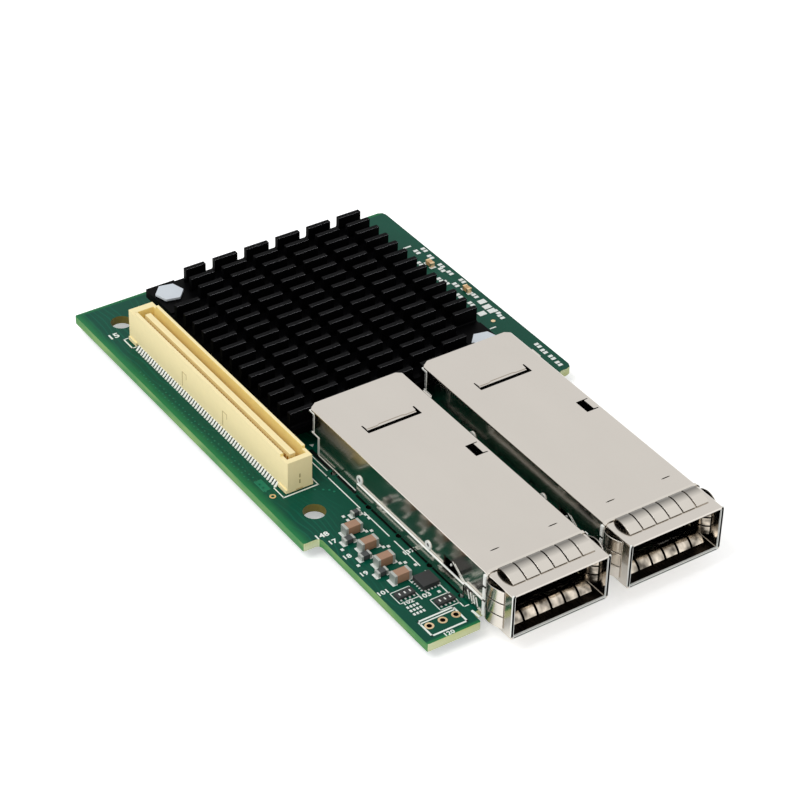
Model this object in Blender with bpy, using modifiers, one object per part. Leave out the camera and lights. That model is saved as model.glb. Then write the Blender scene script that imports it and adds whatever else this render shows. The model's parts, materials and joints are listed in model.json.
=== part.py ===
"""Mezzanine network card with two port cages, a stacking connector and a finned heatsink.

Frame: X across the card, +Y towards the rear edge, +Z up out of the component side. The origin
lies on the surface that the card rests on, under the middle of its footprint. Stations along the
card are measured forwards from the board's rear edge, places across it from the board's left
edge, and heights up from the board's top face.
"""
import math

import bmesh
import bpy
from mathutils import Matrix, Vector

MM = 0.001

# Clearances between pieces
SEAT_GAP = 0.1 * MM
HOLE_CLEARANCE = 0.3 * MM
UNION_BITE = 0.1 * MM
CUT_MARGIN = 1.0 * MM
MERGE_DISTANCE = 0.001 * MM

# Straight sides that stand for round holes and shanks
MOUNT_HOLE_SIDES = 24
SCREW_SIDES = 16
SMALL_HOLE_SIDES = 10

# Circuit board
BOARD_THICKNESS = 1.6 * MM
BOARD_CORNER = 1.2 * MM
SHARP_CORNER = 0.3 * MM
UNDERSIDE_DROP = 1.5 * MM
SIDE_STEP = 3.2 * MM
LEFT_STEP_FROM_MOUNT = 6.4 * MM
RIGHT_STEP_FROM_CAGES = 4.3 * MM
STEP_FILLET = 0.8 * MM
TONGUE_WIDTH = 10.3 * MM
BOARD_TO_COLLAR = 1.4 * MM

# Mounting holes for the standoffs
MOUNT_HOLE = 4.0 * MM
MOUNT_HOLE_INSET = 6.2 * MM
REAR_MOUNT_AT = 6.4 * MM
FRONT_MOUNT_FROM_CONNECTOR = 6.2 * MM

# Pin header footprint on the tongue
HEADER_HOLE = 0.95 * MM
HEADER_PITCH = 2.54 * MM
HEADER_HOLES = 3
HEADER_INSET = 2.75 * MM
HEADER_FROM_FRONT = 3.6 * MM

# Port cages
CAGE_COUNT = 2
CAGE_TO_TONGUE = 1.3 * MM
CAGE_SPACING = 4.0 * MM
CAGE_TO_EDGE = 10.8 * MM
CAGE_WIDTH = 19.2 * MM
CAGE_LENGTH = 58.8 * MM
CAGE_HEIGHT = 9.0 * MM
CAGE_REAR = 57.4 * MM
CAGE_OVERHANG = 6.2 * MM
SHEET = 0.4 * MM
CAGE_EDGE_RADIUS = 0.6 * MM
REAR_LIP = 0.75 * MM
LIP_CORNER = 1.3 * MM
LIP_CORNER_DEPTH = 0.95 * MM
LIP_CORNER_LOW = 1.0 * MM
REAR_WALL_LOW = 4.1 * MM
SIDE_REAR_SETBACK = 2.6 * MM
FLOOR_SHEET = 0.3 * MM

# Lanced tab, window and slits in the top of each cage
TAB_LEFT = 4.3 * MM
TAB_FROM_RIGHT = 4.05 * MM
TAB_REAR = 9.1 * MM
TAB_LENGTH = 2.35 * MM
TAB_SLIT = 0.3 * MM
TAB_GAP = 1.2 * MM
TAB_RELIEF = 0.22 * MM
TAB_RELIEF_INSET = 3.0 * MM
WINDOW_FROM_RIGHT = 0.75 * MM
WINDOW_WIDTH = 1.55 * MM
WINDOW_REAR = 23.0 * MM
WINDOW_LENGTH = 3.3 * MM
WINDOW_TONGUE = 0.95 * MM
WINDOW_SLIT = 0.2 * MM
SLIT_FROM_MOUTH = 11.2 * MM
SLIT_LENGTH = 2.0 * MM
SLIT_WIDTH = 0.25 * MM
SLIT_FROM_LEFT = 3.35 * MM
SLIT_FROM_RIGHT = 2.35 * MM

# Latch windows in the cage sides
LATCH_FROM_MOUTH = 18.7 * MM
LATCH_LENGTH = 5.2 * MM
LATCH_TOP = 4.7 * MM
LATCH_TOP_LENGTH = 1.9 * MM
LATCH_BOTTOM = 1.2 * MM

# Side flanges and solder tails of the cage floor
FLANGE_REAR = 15.0 * MM
JOG_FROM_MOUTH = 12.7 * MM
FLANGE_HEIGHT = 2.6 * MM
FLANGE_FRONT_HEIGHT = 3.2 * MM
FLANGE_JOG_GAP = 0.3 * MM
FLANGE_INSET = 0.05 * MM
SHOULDER_SLOPE = 0.3 * MM
TAIL_FROM_REAR = 7.8 * MM
TAIL_FROM_MOUTH = 13.1 * MM
SPARE_HOLE_PITCH = 9.0 * MM
TAIL_WIDTH = 0.7 * MM
TAIL_LUG = 1.8 * MM
TAIL_HOLE = 1.2 * MM
FLOOR_REAR = 2.8 * MM
FLOOR_OPENING_MARGIN = 0.4 * MM
FLOOR_SLOT_WIDTH = 1.4 * MM
FLOOR_SLOT_LENGTH = 2.2 * MM
FLOOR_SLOT_FROM_SIDE = 4.8 * MM
FLOOR_SLOT_FROM_MOUTH = 11.8 * MM
FLOOR_SLOT_PITCH = 11.5 * MM

# Spring finger collars round the cage mouths
COLLAR_FROM_MOUTH = 7.3 * MM
COLLAR_ROOT = 0.7 * MM
COLLAR_ARCH = 4.4 * MM
COLLAR_SHEET = 0.22 * MM
FINGER_RISE = 0.75 * MM
FINGERS_WIDE = 6
FINGERS_HIGH = 3
FINGER_SLIT = 0.25 * MM
FINGER_CORNER = 1.5 * MM
INNER_COLLAR_FROM_MOUTH = 6.4 * MM
INNER_COLLAR_ARCH = 3.5 * MM
INNER_FINGER_CORNER = 1.1 * MM
ARCH_SEGMENTS = 4

# Card edge receptacle inside each cage
PORT_REAR = 4.6 * MM
PORT_DEPTH = 10.5 * MM
PORT_SIDE_GAP = 0.8 * MM
PORT_HEIGHT = 6.6 * MM
PORT_CHEEK = 0.9 * MM
PORT_SLOT_HEIGHT = 1.3 * MM
PORT_SLOT_DEPTH = 5.0 * MM
PORT_SLOT_BASE = 3.0 * MM
PORT_NOSE_STEP = 3.2 * MM
PORT_NOSE_DROP = 1.1 * MM

# Stacking connector
CONNECTOR_LEFT = 4.8 * MM
CONNECTOR_REAR = 12.0 * MM
CONNECTOR_WIDTH = 4.9 * MM
CONNECTOR_HEIGHT = 6.5 * MM
CONTACTS_PER_SIDE = 60
CONTACT_PITCH = 0.8 * MM
CONTACTS_FROM_REAR = 3.8 * MM
CONTACTS_FROM_FRONT = 3.0 * MM
CONNECTOR_WALL = 0.6 * MM
CONNECTOR_REAR_WALL = 1.5 * MM
CONNECTOR_FRONT_WALL = 1.1 * MM
CONNECTOR_FLOOR = 1.8 * MM
CONNECTOR_LIFT = 0.6 * MM
RIM_RISE = 0.6 * MM
RIM_END_SETBACK = 2.3 * MM
BLADE_WIDTH = 1.1 * MM
BLADE_HEIGHT = 6.3 * MM
BLADE_END_GAP = 1.2 * MM
FOOT_LENGTH = 2.8 * MM
FOOT_REACH = 0.25 * MM
FOOT_HEIGHT = 0.9 * MM
LEAD_WIDTH = 0.35 * MM
LEAD_THICKNESS = 0.17 * MM
LEAD_REACH = 0.78 * MM
LEAD_INSET = 0.4 * MM

# Heatsink
HEATSINK_REAR = 5.7 * MM
HEATSINK_TO_CONNECTOR = 2.2 * MM
HEATSINK_TO_CAGES = 1.1 * MM
HEATSINK_WIDTH = 45.9 * MM
HEATSINK_BASE = 1.45 * MM
FIN_ROWS = 16
FIN_COLUMNS = 7
FIN_THICKNESS = 0.9 * MM
FIN_HEIGHT = 2.85 * MM
FIN_END_MARGIN = 0.85 * MM
NOTCH_WIDTH = 1.9 * MM
NOTCH_RIDGE = 0.45 * MM
NOTCH_FILLET = 0.6 * MM
FILLET_SEGMENTS = 2
PAD_ROWS = 3
PAD_COLUMNS = 1
PAD_RISE = 0.3 * MM
REAR_TOOTH_TRIM = 0.7 * MM

# Heatsink screws and their nuts
SCREW_INSET_ACROSS = 2.9 * MM
SCREW_INSET_ALONG = 3.65 * MM
SCREW_DIAMETER = 2.5 * MM
SCREW_HEAD_FLATS = 4.65 * MM
SCREW_HEAD_HEIGHT = 0.45 * MM
SCREW_HEAD_TURN = math.radians(-13.0)
NUT_FLATS = 5.0 * MM
NUT_HEIGHT = 1.4 * MM

# Chip package under the heatsink
PACKAGE_SIZE = 25.0 * MM
PACKAGE_THICKNESS = 1.2 * MM
LID_SIZE = 22.0 * MM
LID_THICKNESS = 1.3 * MM
LID_EDGE = 0.4 * MM
THERMAL_PAD_SIZE = 20.0 * MM
THERMAL_PAD_THICKNESS = 0.2 * MM

# Small parts on the tongue, their places measured from its left and front edges
CAPACITOR_COUNT = 4
CAPACITOR_SIZE = (3.3 * MM, 1.7 * MM, 1.7 * MM)
CAPACITOR_ACROSS = 8.5 * MM
CAPACITOR_FROM_FRONT = 15.5 * MM
CAPACITOR_PITCH = 4.8 * MM
CAPACITOR_EDGE = 0.12 * MM
INDUCTOR_COUNT = 3
INDUCTOR_SIZE = (2.0 * MM, 1.25 * MM, 0.9 * MM)
INDUCTOR_ACROSS = 6.6 * MM
INDUCTOR_FROM_FRONT = 18.2 * MM
INDUCTOR_PITCH = 4.9 * MM
FILTER_SIZE = (1.6 * MM, 1.0 * MM, 0.8 * MM)
FILTER_PLACE = (11.5 * MM, 33.4 * MM)
REGULATOR_SIZE = (3.2 * MM, 3.2 * MM, 0.9 * MM)
REGULATOR_PLACE = (11.5 * MM, 12.6 * MM)
NETWORK_SIZE = (3.3 * MM, 1.5 * MM, 0.5 * MM)
NETWORK_PLACES = ((6.85 * MM, 11.9 * MM), (11.45 * MM, 7.2 * MM))
SMALL_PART_EDGE = 0.08 * MM

# Small parts along the right edge, their places measured from that edge and the rear edge
EDGE_CAPACITOR_SIZE = (1.0 * MM, 1.7 * MM, 0.9 * MM)
EDGE_CAPACITOR_PLACES = ((3.0 * MM, 20.7 * MM), (2.1 * MM, 31.6 * MM))

# Places and levels that follow from the sizes above
CAGE_LEFT = SIDE_STEP + TONGUE_WIDTH + CAGE_TO_TONGUE
CAGE_PITCH = CAGE_WIDTH + CAGE_SPACING
COLLAR_REAR = CAGE_LENGTH - COLLAR_FROM_MOUTH
INNER_COLLAR_REAR = CAGE_LENGTH - INNER_COLLAR_FROM_MOUTH
CARD_LENGTH = CAGE_REAR + CAGE_LENGTH
BOARD_WIDTH = CAGE_LEFT + CAGE_PITCH * (CAGE_COUNT - 1) + CAGE_WIDTH + CAGE_TO_EDGE
BOARD_LENGTH = CARD_LENGTH - CAGE_OVERHANG
REAR_Y = CARD_LENGTH / 2
BOARD_TOP = UNDERSIDE_DROP + BOARD_THICKNESS
PORT_WIDTH = CAGE_WIDTH - 2 * (SHEET + PORT_SIDE_GAP)
PORT_SLOT_WIDTH = PORT_WIDTH - 2 * PORT_CHEEK
HEATSINK_LEFT = CONNECTOR_LEFT + CONNECTOR_WIDTH + HEATSINK_TO_CONNECTOR
HEATSINK_FRONT = CAGE_REAR - HEATSINK_TO_CAGES
PACKAGE_BASE = SEAT_GAP
LID_BASE = PACKAGE_BASE + PACKAGE_THICKNESS + SEAT_GAP
THERMAL_PAD_BASE = LID_BASE + LID_THICKNESS + SEAT_GAP
HEATSINK_UNDERSIDE = THERMAL_PAD_BASE + THERMAL_PAD_THICKNESS + SEAT_GAP
FIN_FLOOR = HEATSINK_UNDERSIDE + HEATSINK_BASE
PAD_TOP = FIN_FLOOR + PAD_RISE
FIN_TOP = FIN_FLOOR + FIN_HEIGHT
WALL_BASE = SEAT_GAP + FLOOR_SHEET + SEAT_GAP
CONNECTOR_LENGTH = (CONTACTS_FROM_REAR + (CONTACTS_PER_SIDE - 1) * CONTACT_PITCH
                    + CONTACTS_FROM_FRONT)
CONNECTOR_FRONT = CONNECTOR_REAR + CONNECTOR_LENGTH
FRONT_MOUNT_AT = CONNECTOR_FRONT + FRONT_MOUNT_FROM_CONNECTOR
LEFT_STEP_AT = FRONT_MOUNT_AT + LEFT_STEP_FROM_MOUNT
RIGHT_STEP_AT = CAGE_REAR + RIGHT_STEP_FROM_CAGES

PARTS = "mezzanine_network_card"
CUTTERS = "cutters"


def clear_scene():
    """Remove every object and collection that the file opened with."""
    for item in list(bpy.data.objects):
        bpy.data.objects.remove(item, do_unlink=True)
    for group in list(bpy.data.collections):
        bpy.data.collections.remove(group)


def make_collection(name):
    """Add a collection to the scene."""
    group = bpy.data.collections.new(name)
    bpy.context.scene.collection.children.link(group)
    return group


def make_material(name, colour, roughness, metallic=0.0):
    """Return a Principled material with one colour."""
    material = bpy.data.materials.new(name)
    material.use_nodes = True
    shader = material.node_tree.nodes["Principled BSDF"]
    shader.inputs["Base Color"].default_value = (*colour, 1.0)
    shader.inputs["Roughness"].default_value = roughness
    shader.inputs["Metallic"].default_value = metallic
    material.diffuse_color = (*colour, 1.0)
    return material


def card_point(across, along, height):
    """World position of a place on the card, given from its left edge, rear edge and top face."""
    return Vector((across - BOARD_WIDTH / 2, REAR_Y - along, BOARD_TOP + height))


def add_box(bm, across, along, height):
    """Add a box that spans three (low, high) pairs in card measures."""
    low = card_point(across[0], along[1], height[0])
    high = card_point(across[1], along[0], height[1])
    size = high - low
    place = Matrix.Translation((low + high) / 2) @ Matrix.Diagonal((*size, 1.0))
    return bmesh.ops.create_cube(bm, size=1.0, matrix=place)["verts"]


def finish_mesh(bm, name):
    """Turn a bmesh into a mesh whose faces point outwards."""
    bmesh.ops.recalc_face_normals(bm, faces=bm.faces)
    mesh = bpy.data.meshes.new(name)
    bm.to_mesh(mesh)
    bm.free()
    return mesh


def box_mesh(name, spans):
    """Mesh of one or more separate boxes, each three (low, high) pairs."""
    bm = bmesh.new()
    for across, along, height in spans:
        add_box(bm, across, along, height)
    return finish_mesh(bm, name)


def add_piece(name, mesh, material):
    """Add one sub-part to the card's collection."""
    mesh.materials.clear()
    mesh.materials.append(material)
    piece = bpy.data.objects.new(name, mesh)
    bpy.data.collections[PARTS].objects.link(piece)
    return piece


def add_tool(name, mesh):
    """Add a cutter or a joining shape, which isn't a part of the card."""
    tool = bpy.data.objects.new(name, mesh)
    tool.hide_render = True
    tool.display_type = "WIRE"
    bpy.data.collections[CUTTERS].objects.link(tool)
    return tool


def apply_boolean(piece, tool, operation):
    """Join a tool to a piece or cut it away with an exact Boolean."""
    modifier = piece.modifiers.new(tool.name, "BOOLEAN")
    modifier.operation = operation
    modifier.solver = "EXACT"
    modifier.object = tool


def cut(piece, name, mesh):
    """Cut a mesh away from a piece."""
    apply_boolean(piece, add_tool(name, mesh), "DIFFERENCE")


def join(piece, name, mesh):
    """Join a mesh that overlaps a piece into the same body."""
    apply_boolean(piece, add_tool(name, mesh), "UNION")


def soften(piece, width, segments=2):
    """Round the sharp edges of a piece."""
    modifier = piece.modifiers.new("rounded_edges", "BEVEL")
    modifier.width = width
    modifier.segments = segments
    modifier.limit_method = "ANGLE"


def circle(centre_x, centre_y, diameter, count):
    """Points round a circle."""
    turn = 2 * math.pi / count
    return [(centre_x + diameter / 2 * math.cos(turn * i),
             centre_y + diameter / 2 * math.sin(turn * i)) for i in range(count)]


def rounded_outline(corners):
    """Outline through corners given as (x, y, radius), with an arc at each rounded one."""
    outline = []
    for index, (x, y, radius) in enumerate(corners):
        corner = Vector((x, y))
        before = (Vector(corners[index - 1][:2]) - corner).normalized()
        after = (Vector(corners[(index + 1) % len(corners)][:2]) - corner).normalized()
        if radius == 0:
            outline.append(tuple(corner))
            continue
        half_angle = before.angle(after) / 2
        centre = corner + (before + after).normalized() * radius / math.sin(half_angle)
        start = corner + before * radius / math.tan(half_angle) - centre
        end = corner + after * radius / math.tan(half_angle) - centre
        angle = math.atan2(start.y, start.x)
        sweep = (math.atan2(end.y, end.x) - angle + math.pi) % (2 * math.pi) - math.pi
        for step in range(FILLET_SEGMENTS + 1):
            turn = angle + sweep * step / FILLET_SEGMENTS
            outline.append((centre.x + radius * math.cos(turn), centre.y + radius * math.sin(turn)))
    return outline


def plate_mesh(name, loops, low, high, place):
    """Closed plate from flat outlines, from level low to level high along its own normal.

    The first loop is the outer edge and the others are holes. The plate is drawn as a filled
    curve, made a mesh, welded and then moved by the matrix place.
    """
    curve = bpy.data.curves.new(name, "CURVE")
    curve.dimensions = "2D"
    curve.fill_mode = "BOTH"
    curve.extrude = (high - low) / 2
    for loop in loops:
        spline = curve.splines.new("POLY")
        spline.points.add(len(loop) - 1)
        for point, (x, y) in zip(spline.points, loop):
            point.co = (x, y, 0.0, 1.0)
        spline.use_cyclic_u = True
    holder = bpy.data.objects.new(name, curve)
    bpy.context.scene.collection.objects.link(holder)
    bpy.context.view_layer.update()
    evaluated = holder.evaluated_get(bpy.context.evaluated_depsgraph_get())
    mesh = bpy.data.meshes.new_from_object(evaluated)
    bpy.data.objects.remove(holder, do_unlink=True)
    bpy.data.curves.remove(curve)
    bm = bmesh.new()
    bm.from_mesh(mesh)
    bpy.data.meshes.remove(mesh)
    bmesh.ops.remove_doubles(bm, verts=bm.verts, dist=MERGE_DISTANCE)
    lift = Matrix.Translation((0.0, 0.0, (low + high) / 2))
    bmesh.ops.transform(bm, matrix=place @ lift, verts=bm.verts)
    return finish_mesh(bm, name)


def flat_place():
    """Matrix from plan outlines (across, minus along) to the card, level with its top face."""
    return Matrix.Translation(card_point(0.0, 0.0, 0.0))


def side_place():
    """Matrix from outlines (minus along, height) to the card, extruded across it."""
    turn = Matrix(((0, 0, 1, 0), (1, 0, 0, 0), (0, 1, 0, 0), (0, 0, 0, 1)))
    return Matrix.Translation(card_point(0.0, 0.0, 0.0)) @ turn


def front_place():
    """Matrix from outlines (across, height) to the card, extruded towards the front."""
    turn = Matrix(((1, 0, 0, 0), (0, 0, -1, 0), (0, 1, 0, 0), (0, 0, 0, 1)))
    return Matrix.Translation(card_point(0.0, 0.0, 0.0)) @ turn


def merge_meshes(name, meshes):
    """Put separate meshes into one mesh and remove the originals."""
    bm = bmesh.new()
    for mesh in meshes:
        bm.from_mesh(mesh)
        bpy.data.meshes.remove(mesh)
    merged = bpy.data.meshes.new(name)
    bm.to_mesh(merged)
    bm.free()
    return merged


def hexagon(flats, turn):
    """Six points of a hexagon of this width across its flats, about the origin."""
    reach = flats / math.sqrt(3)
    return [(reach * math.cos(turn + math.pi / 3 * i), reach * math.sin(turn + math.pi / 3 * i))
            for i in range(6)]


def cage_lefts():
    """Left side of each port cage."""
    return [CAGE_LEFT + CAGE_PITCH * index for index in range(CAGE_COUNT)]


def screw_places():
    """Places across and along the card of the two heatsink screws."""
    rear = (HEATSINK_LEFT + SCREW_INSET_ACROSS, HEATSINK_REAR + SCREW_INSET_ALONG)
    front = (HEATSINK_LEFT + HEATSINK_WIDTH - SCREW_INSET_ACROSS,
             HEATSINK_FRONT - SCREW_INSET_ALONG)
    return {"rear": rear, "front": front}


def tail_stations():
    """Places along a cage of the solder tails at its two ends."""
    return (TAIL_FROM_REAR, CAGE_LENGTH - TAIL_FROM_MOUTH)


def spare_hole_stations():
    """Places along a cage of the plain holes between its tails."""
    first, last = tail_stations()
    count = math.floor((last - first) / SPARE_HOLE_PITCH) - 1
    return [last - SPARE_HOLE_PITCH * (index + 1) for index in range(count)]


def floor_slot_stations():
    """Places along a cage floor of its slots, in front of the receptacle's opening."""
    last = CAGE_LENGTH - FLOOR_SLOT_FROM_MOUTH
    room = last - (PORT_REAR + PORT_DEPTH + FLOOR_OPENING_MARGIN)
    count = math.floor(room / FLOOR_SLOT_PITCH) + 1
    return [last - FLOOR_SLOT_PITCH * index for index in range(count)]


def flange_lines(left):
    """Middle of each cage floor flange, outside the left and right walls."""
    offset = SEAT_GAP + FLOOR_SHEET / 2
    return (left - offset, left + CAGE_WIDTH + offset)


def build_board(material):
    """Circuit board with its steps, standoff holes, header holes and cage tail holes."""
    narrow_right = BOARD_WIDTH - SIDE_STEP
    backset = CAGE_REAR + COLLAR_REAR - BOARD_TO_COLLAR
    tongue_right = SIDE_STEP + TONGUE_WIDTH
    outline = rounded_outline([
        (0.0, 0.0, SHARP_CORNER),
        (BOARD_WIDTH, 0.0, BOARD_CORNER),
        (BOARD_WIDTH, -RIGHT_STEP_AT, BOARD_CORNER),
        (narrow_right, -RIGHT_STEP_AT, STEP_FILLET),
        (narrow_right, -backset, STEP_FILLET),
        (tongue_right, -backset, STEP_FILLET),
        (tongue_right, -BOARD_LENGTH, SHARP_CORNER),
        (SIDE_STEP, -BOARD_LENGTH, SHARP_CORNER),
        (SIDE_STEP, -LEFT_STEP_AT, STEP_FILLET),
        (0.0, -LEFT_STEP_AT, SHARP_CORNER),
    ])
    holes = [circle(MOUNT_HOLE_INSET, -station, MOUNT_HOLE, MOUNT_HOLE_SIDES)
             for station in (REAR_MOUNT_AT, FRONT_MOUNT_AT)]
    for index in range(HEADER_HOLES):
        across = SIDE_STEP + HEADER_INSET + HEADER_PITCH * index
        holes.append(circle(across, HEADER_FROM_FRONT - BOARD_LENGTH, HEADER_HOLE,
                            SMALL_HOLE_SIDES))
    for left in cage_lefts():
        for across in flange_lines(left):
            for station in [*tail_stations(), *spare_hole_stations()]:
                holes.append(circle(across, -CAGE_REAR - station, TAIL_HOLE, SMALL_HOLE_SIDES))
    for across, along in screw_places().values():
        holes.append(circle(across, -along, SCREW_DIAMETER + 2 * HOLE_CLEARANCE, SCREW_SIDES))
    mesh = plate_mesh("circuit_board", [outline] + holes, -BOARD_THICKNESS, 0.0, flat_place())
    add_piece("circuit_board", mesh, material)


def lead_meshes():
    """L-shaped solder leads down both sides of the stacking connector."""
    foot = (SEAT_GAP, SEAT_GAP + LEAD_THICKNESS)
    top = CONNECTOR_LIFT + UNION_BITE
    meshes = []
    for side in (-1, 1):
        wall = CONNECTOR_LEFT + (CONNECTOR_WIDTH if side > 0 else 0.0)
        tip = wall + side * LEAD_REACH
        outer = wall - side * LEAD_INSET
        inner = outer - side * LEAD_THICKNESS
        outline = [(tip, foot[0]), (inner, foot[0]), (inner, top),
                   (outer, top), (outer, foot[1]), (tip, foot[1])]
        for index in range(CONTACTS_PER_SIDE):
            station = CONNECTOR_REAR + CONTACTS_FROM_REAR + CONTACT_PITCH * index
            meshes.append(plate_mesh("lead", [outline], station - LEAD_WIDTH / 2,
                                     station + LEAD_WIDTH / 2, front_place()))
    return meshes


def build_connector(material):
    """Stacking connector: housing with rim, feet, contact blade and two rows of leads."""
    left = CONNECTOR_LEFT
    right = left + CONNECTOR_WIDTH
    rear = CONNECTOR_REAR
    front = CONNECTOR_FRONT
    middle = (left + right) / 2
    body = box_mesh("mezzanine_connector", [
        ((left, right), (rear, front), (CONNECTOR_LIFT, CONNECTOR_HEIGHT))])
    piece = add_piece("mezzanine_connector", body, material)
    rim_span = (rear + RIM_END_SETBACK, front - RIM_END_SETBACK)
    rim_height = (CONNECTOR_HEIGHT - UNION_BITE, CONNECTOR_HEIGHT + RIM_RISE)
    join(piece, "connector_rim", box_mesh("connector_rim", [
        ((left, left + CONNECTOR_WALL), rim_span, rim_height),
        ((right - CONNECTOR_WALL, right), rim_span, rim_height)]))
    cut(piece, "connector_cavity", box_mesh("connector_cavity", [
        ((left + CONNECTOR_WALL, right - CONNECTOR_WALL),
         (rear + CONNECTOR_REAR_WALL, front - CONNECTOR_FRONT_WALL),
         (CONNECTOR_FLOOR, CONNECTOR_HEIGHT + RIM_RISE + CUT_MARGIN))]))
    join(piece, "contact_blade", box_mesh("contact_blade", [
        ((middle - BLADE_WIDTH / 2, middle + BLADE_WIDTH / 2),
         (rear + CONNECTOR_REAR_WALL + BLADE_END_GAP, front - CONNECTOR_FRONT_WALL - BLADE_END_GAP),
         (CONNECTOR_FLOOR - UNION_BITE, BLADE_HEIGHT))]))
    foot_across = (left - FOOT_REACH, right + FOOT_REACH)
    foot_height = (SEAT_GAP, FOOT_HEIGHT)
    join(piece, "connector_feet", box_mesh("connector_feet", [
        (foot_across, (rear + UNION_BITE, rear + FOOT_LENGTH), foot_height),
        (foot_across, (front - FOOT_LENGTH, front - UNION_BITE), foot_height)]))
    join(piece, "connector_leads", merge_meshes("connector_leads", lead_meshes()))


def fin_row_mesh(row, along):
    """One fin across the heatsink, cut into teeth by round-bottomed notches."""
    pitch = (HEATSINK_WIDTH + NOTCH_WIDTH) / FIN_COLUMNS
    columns = list(range(FIN_COLUMNS))
    if row < PAD_ROWS:
        columns = columns[PAD_COLUMNS:]
    if row >= FIN_ROWS - PAD_ROWS:
        columns = columns[:-PAD_COLUMNS]
    low = FIN_FLOOR - UNION_BITE
    ridge = FIN_FLOOR + NOTCH_RIDGE
    corners = []
    for column in columns:
        start = HEATSINK_LEFT + pitch * column
        end = start + pitch - NOTCH_WIDTH
        if row == 0 and column == PAD_COLUMNS:
            start += REAR_TOOTH_TRIM
        first = column == columns[0]
        last = column == columns[-1]
        corners.append((start, low if first else ridge, 0.0 if first else NOTCH_FILLET))
        corners.append((start, FIN_TOP, 0.0))
        corners.append((end, FIN_TOP, 0.0))
        corners.append((end, low if last else ridge, 0.0 if last else NOTCH_FILLET))
    return plate_mesh("fin_row", [rounded_outline(corners)], along, along + FIN_THICKNESS,
                      front_place())


def build_heatsink(material):
    """Cross-cut heatsink: base, rows of teeth and two flats for the screws."""
    right = HEATSINK_LEFT + HEATSINK_WIDTH
    piece = add_piece("heatsink", box_mesh("heatsink", [
        ((HEATSINK_LEFT, right), (HEATSINK_REAR, HEATSINK_FRONT),
         (HEATSINK_UNDERSIDE, FIN_FLOOR))]), material)
    first_row = HEATSINK_REAR + FIN_END_MARGIN
    row_pitch = (HEATSINK_FRONT - FIN_END_MARGIN - FIN_THICKNESS - first_row) / (FIN_ROWS - 1)
    tooth_pitch = (HEATSINK_WIDTH + NOTCH_WIDTH) / FIN_COLUMNS
    pad_width = tooth_pitch * PAD_COLUMNS - NOTCH_WIDTH / 2
    pad_length = FIN_END_MARGIN + row_pitch * PAD_ROWS - (row_pitch - FIN_THICKNESS) / 2
    pad_height = (FIN_FLOOR - UNION_BITE, PAD_TOP)
    join(piece, "screw_flats", box_mesh("screw_flats", [
        ((HEATSINK_LEFT, HEATSINK_LEFT + pad_width),
         (HEATSINK_REAR, HEATSINK_REAR + pad_length), pad_height),
        ((right - pad_width, right), (HEATSINK_FRONT - pad_length, HEATSINK_FRONT),
         pad_height)]))
    rows = [fin_row_mesh(row, first_row + row_pitch * row) for row in range(FIN_ROWS)]
    join(piece, "fin_rows", merge_meshes("fin_rows", rows))
    bores = [plate_mesh("screw_bore", [circle(across, -along,
                                              SCREW_DIAMETER + 2 * HOLE_CLEARANCE,
                                              SCREW_SIDES)],
                        HEATSINK_UNDERSIDE - CUT_MARGIN, PAD_TOP + CUT_MARGIN, flat_place())
             for across, along in screw_places().values()]
    cut(piece, "screw_bores", merge_meshes("screw_bores", bores))


def build_chip(substrate_material, lid_material, pad_material):
    """Chip package, its lid and the thermal pad, centred under the heatsink."""
    centre_across = HEATSINK_LEFT + HEATSINK_WIDTH / 2
    centre_along = (HEATSINK_REAR + HEATSINK_FRONT) / 2

    def square(name, size, base, thickness, material):
        across = (centre_across - size / 2, centre_across + size / 2)
        along = (centre_along - size / 2, centre_along + size / 2)
        return add_piece(name, box_mesh(name, [(across, along, (base, base + thickness))]),
                         material)

    square("chip_package", PACKAGE_SIZE, PACKAGE_BASE, PACKAGE_THICKNESS, substrate_material)
    lid = square("chip_lid", LID_SIZE, LID_BASE, LID_THICKNESS, lid_material)
    soften(lid, LID_EDGE, 1)
    square("thermal_pad", THERMAL_PAD_SIZE, THERMAL_PAD_BASE, THERMAL_PAD_THICKNESS, pad_material)


def build_fasteners(screw_material, nut_material):
    """Hexagonal screws that hold the heatsink, and the nuts under the board."""
    head_base = PAD_TOP + SEAT_GAP
    nut_top = -BOARD_THICKNESS - SEAT_GAP
    shank_low = nut_top - NUT_HEIGHT
    for place, (across, along) in screw_places().items():
        centre = Matrix.Translation(card_point(across, along, 0.0))
        head = plate_mesh("head", [hexagon(SCREW_HEAD_FLATS, SCREW_HEAD_TURN)],
                          head_base, head_base + SCREW_HEAD_HEIGHT, centre)
        screw = add_piece("heatsink_screw_" + place, head, screw_material)
        shank = plate_mesh("shank", [circle(0.0, 0.0, SCREW_DIAMETER, SCREW_SIDES)],
                           shank_low, head_base + UNION_BITE, centre)
        join(screw, "screw_shank_" + place, shank)
        bore = circle(0.0, 0.0, SCREW_DIAMETER + 2 * SEAT_GAP, SCREW_SIDES)
        nut = plate_mesh("nut", [hexagon(NUT_FLATS, 0.0), bore], nut_top - NUT_HEIGHT, nut_top,
                         centre)
        add_piece("heatsink_nut_" + place, nut, nut_material)


def folded_block(name, across, along, height, radius):
    """Closed block with rounded folds down its sides and round its rear corners."""
    bm = bmesh.new()
    add_box(bm, across, along, height)
    bmesh.ops.recalc_face_normals(bm, faces=bm.faces)
    side_folds = [edge for edge in bm.edges
                  if any(abs(face.normal.x) > 0.5 for face in edge.link_faces)
                  and any(face.normal.y > 0.5 or face.normal.z > 0.5 for face in edge.link_faces)]
    bmesh.ops.bevel(bm, geom=side_folds, offset=radius, offset_type="OFFSET", segments=2,
                    profile=0.5, affect="EDGES", material=-1)
    bmesh.ops.triangulate(bm, faces=bm.faces)
    return finish_mesh(bm, name)


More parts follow.
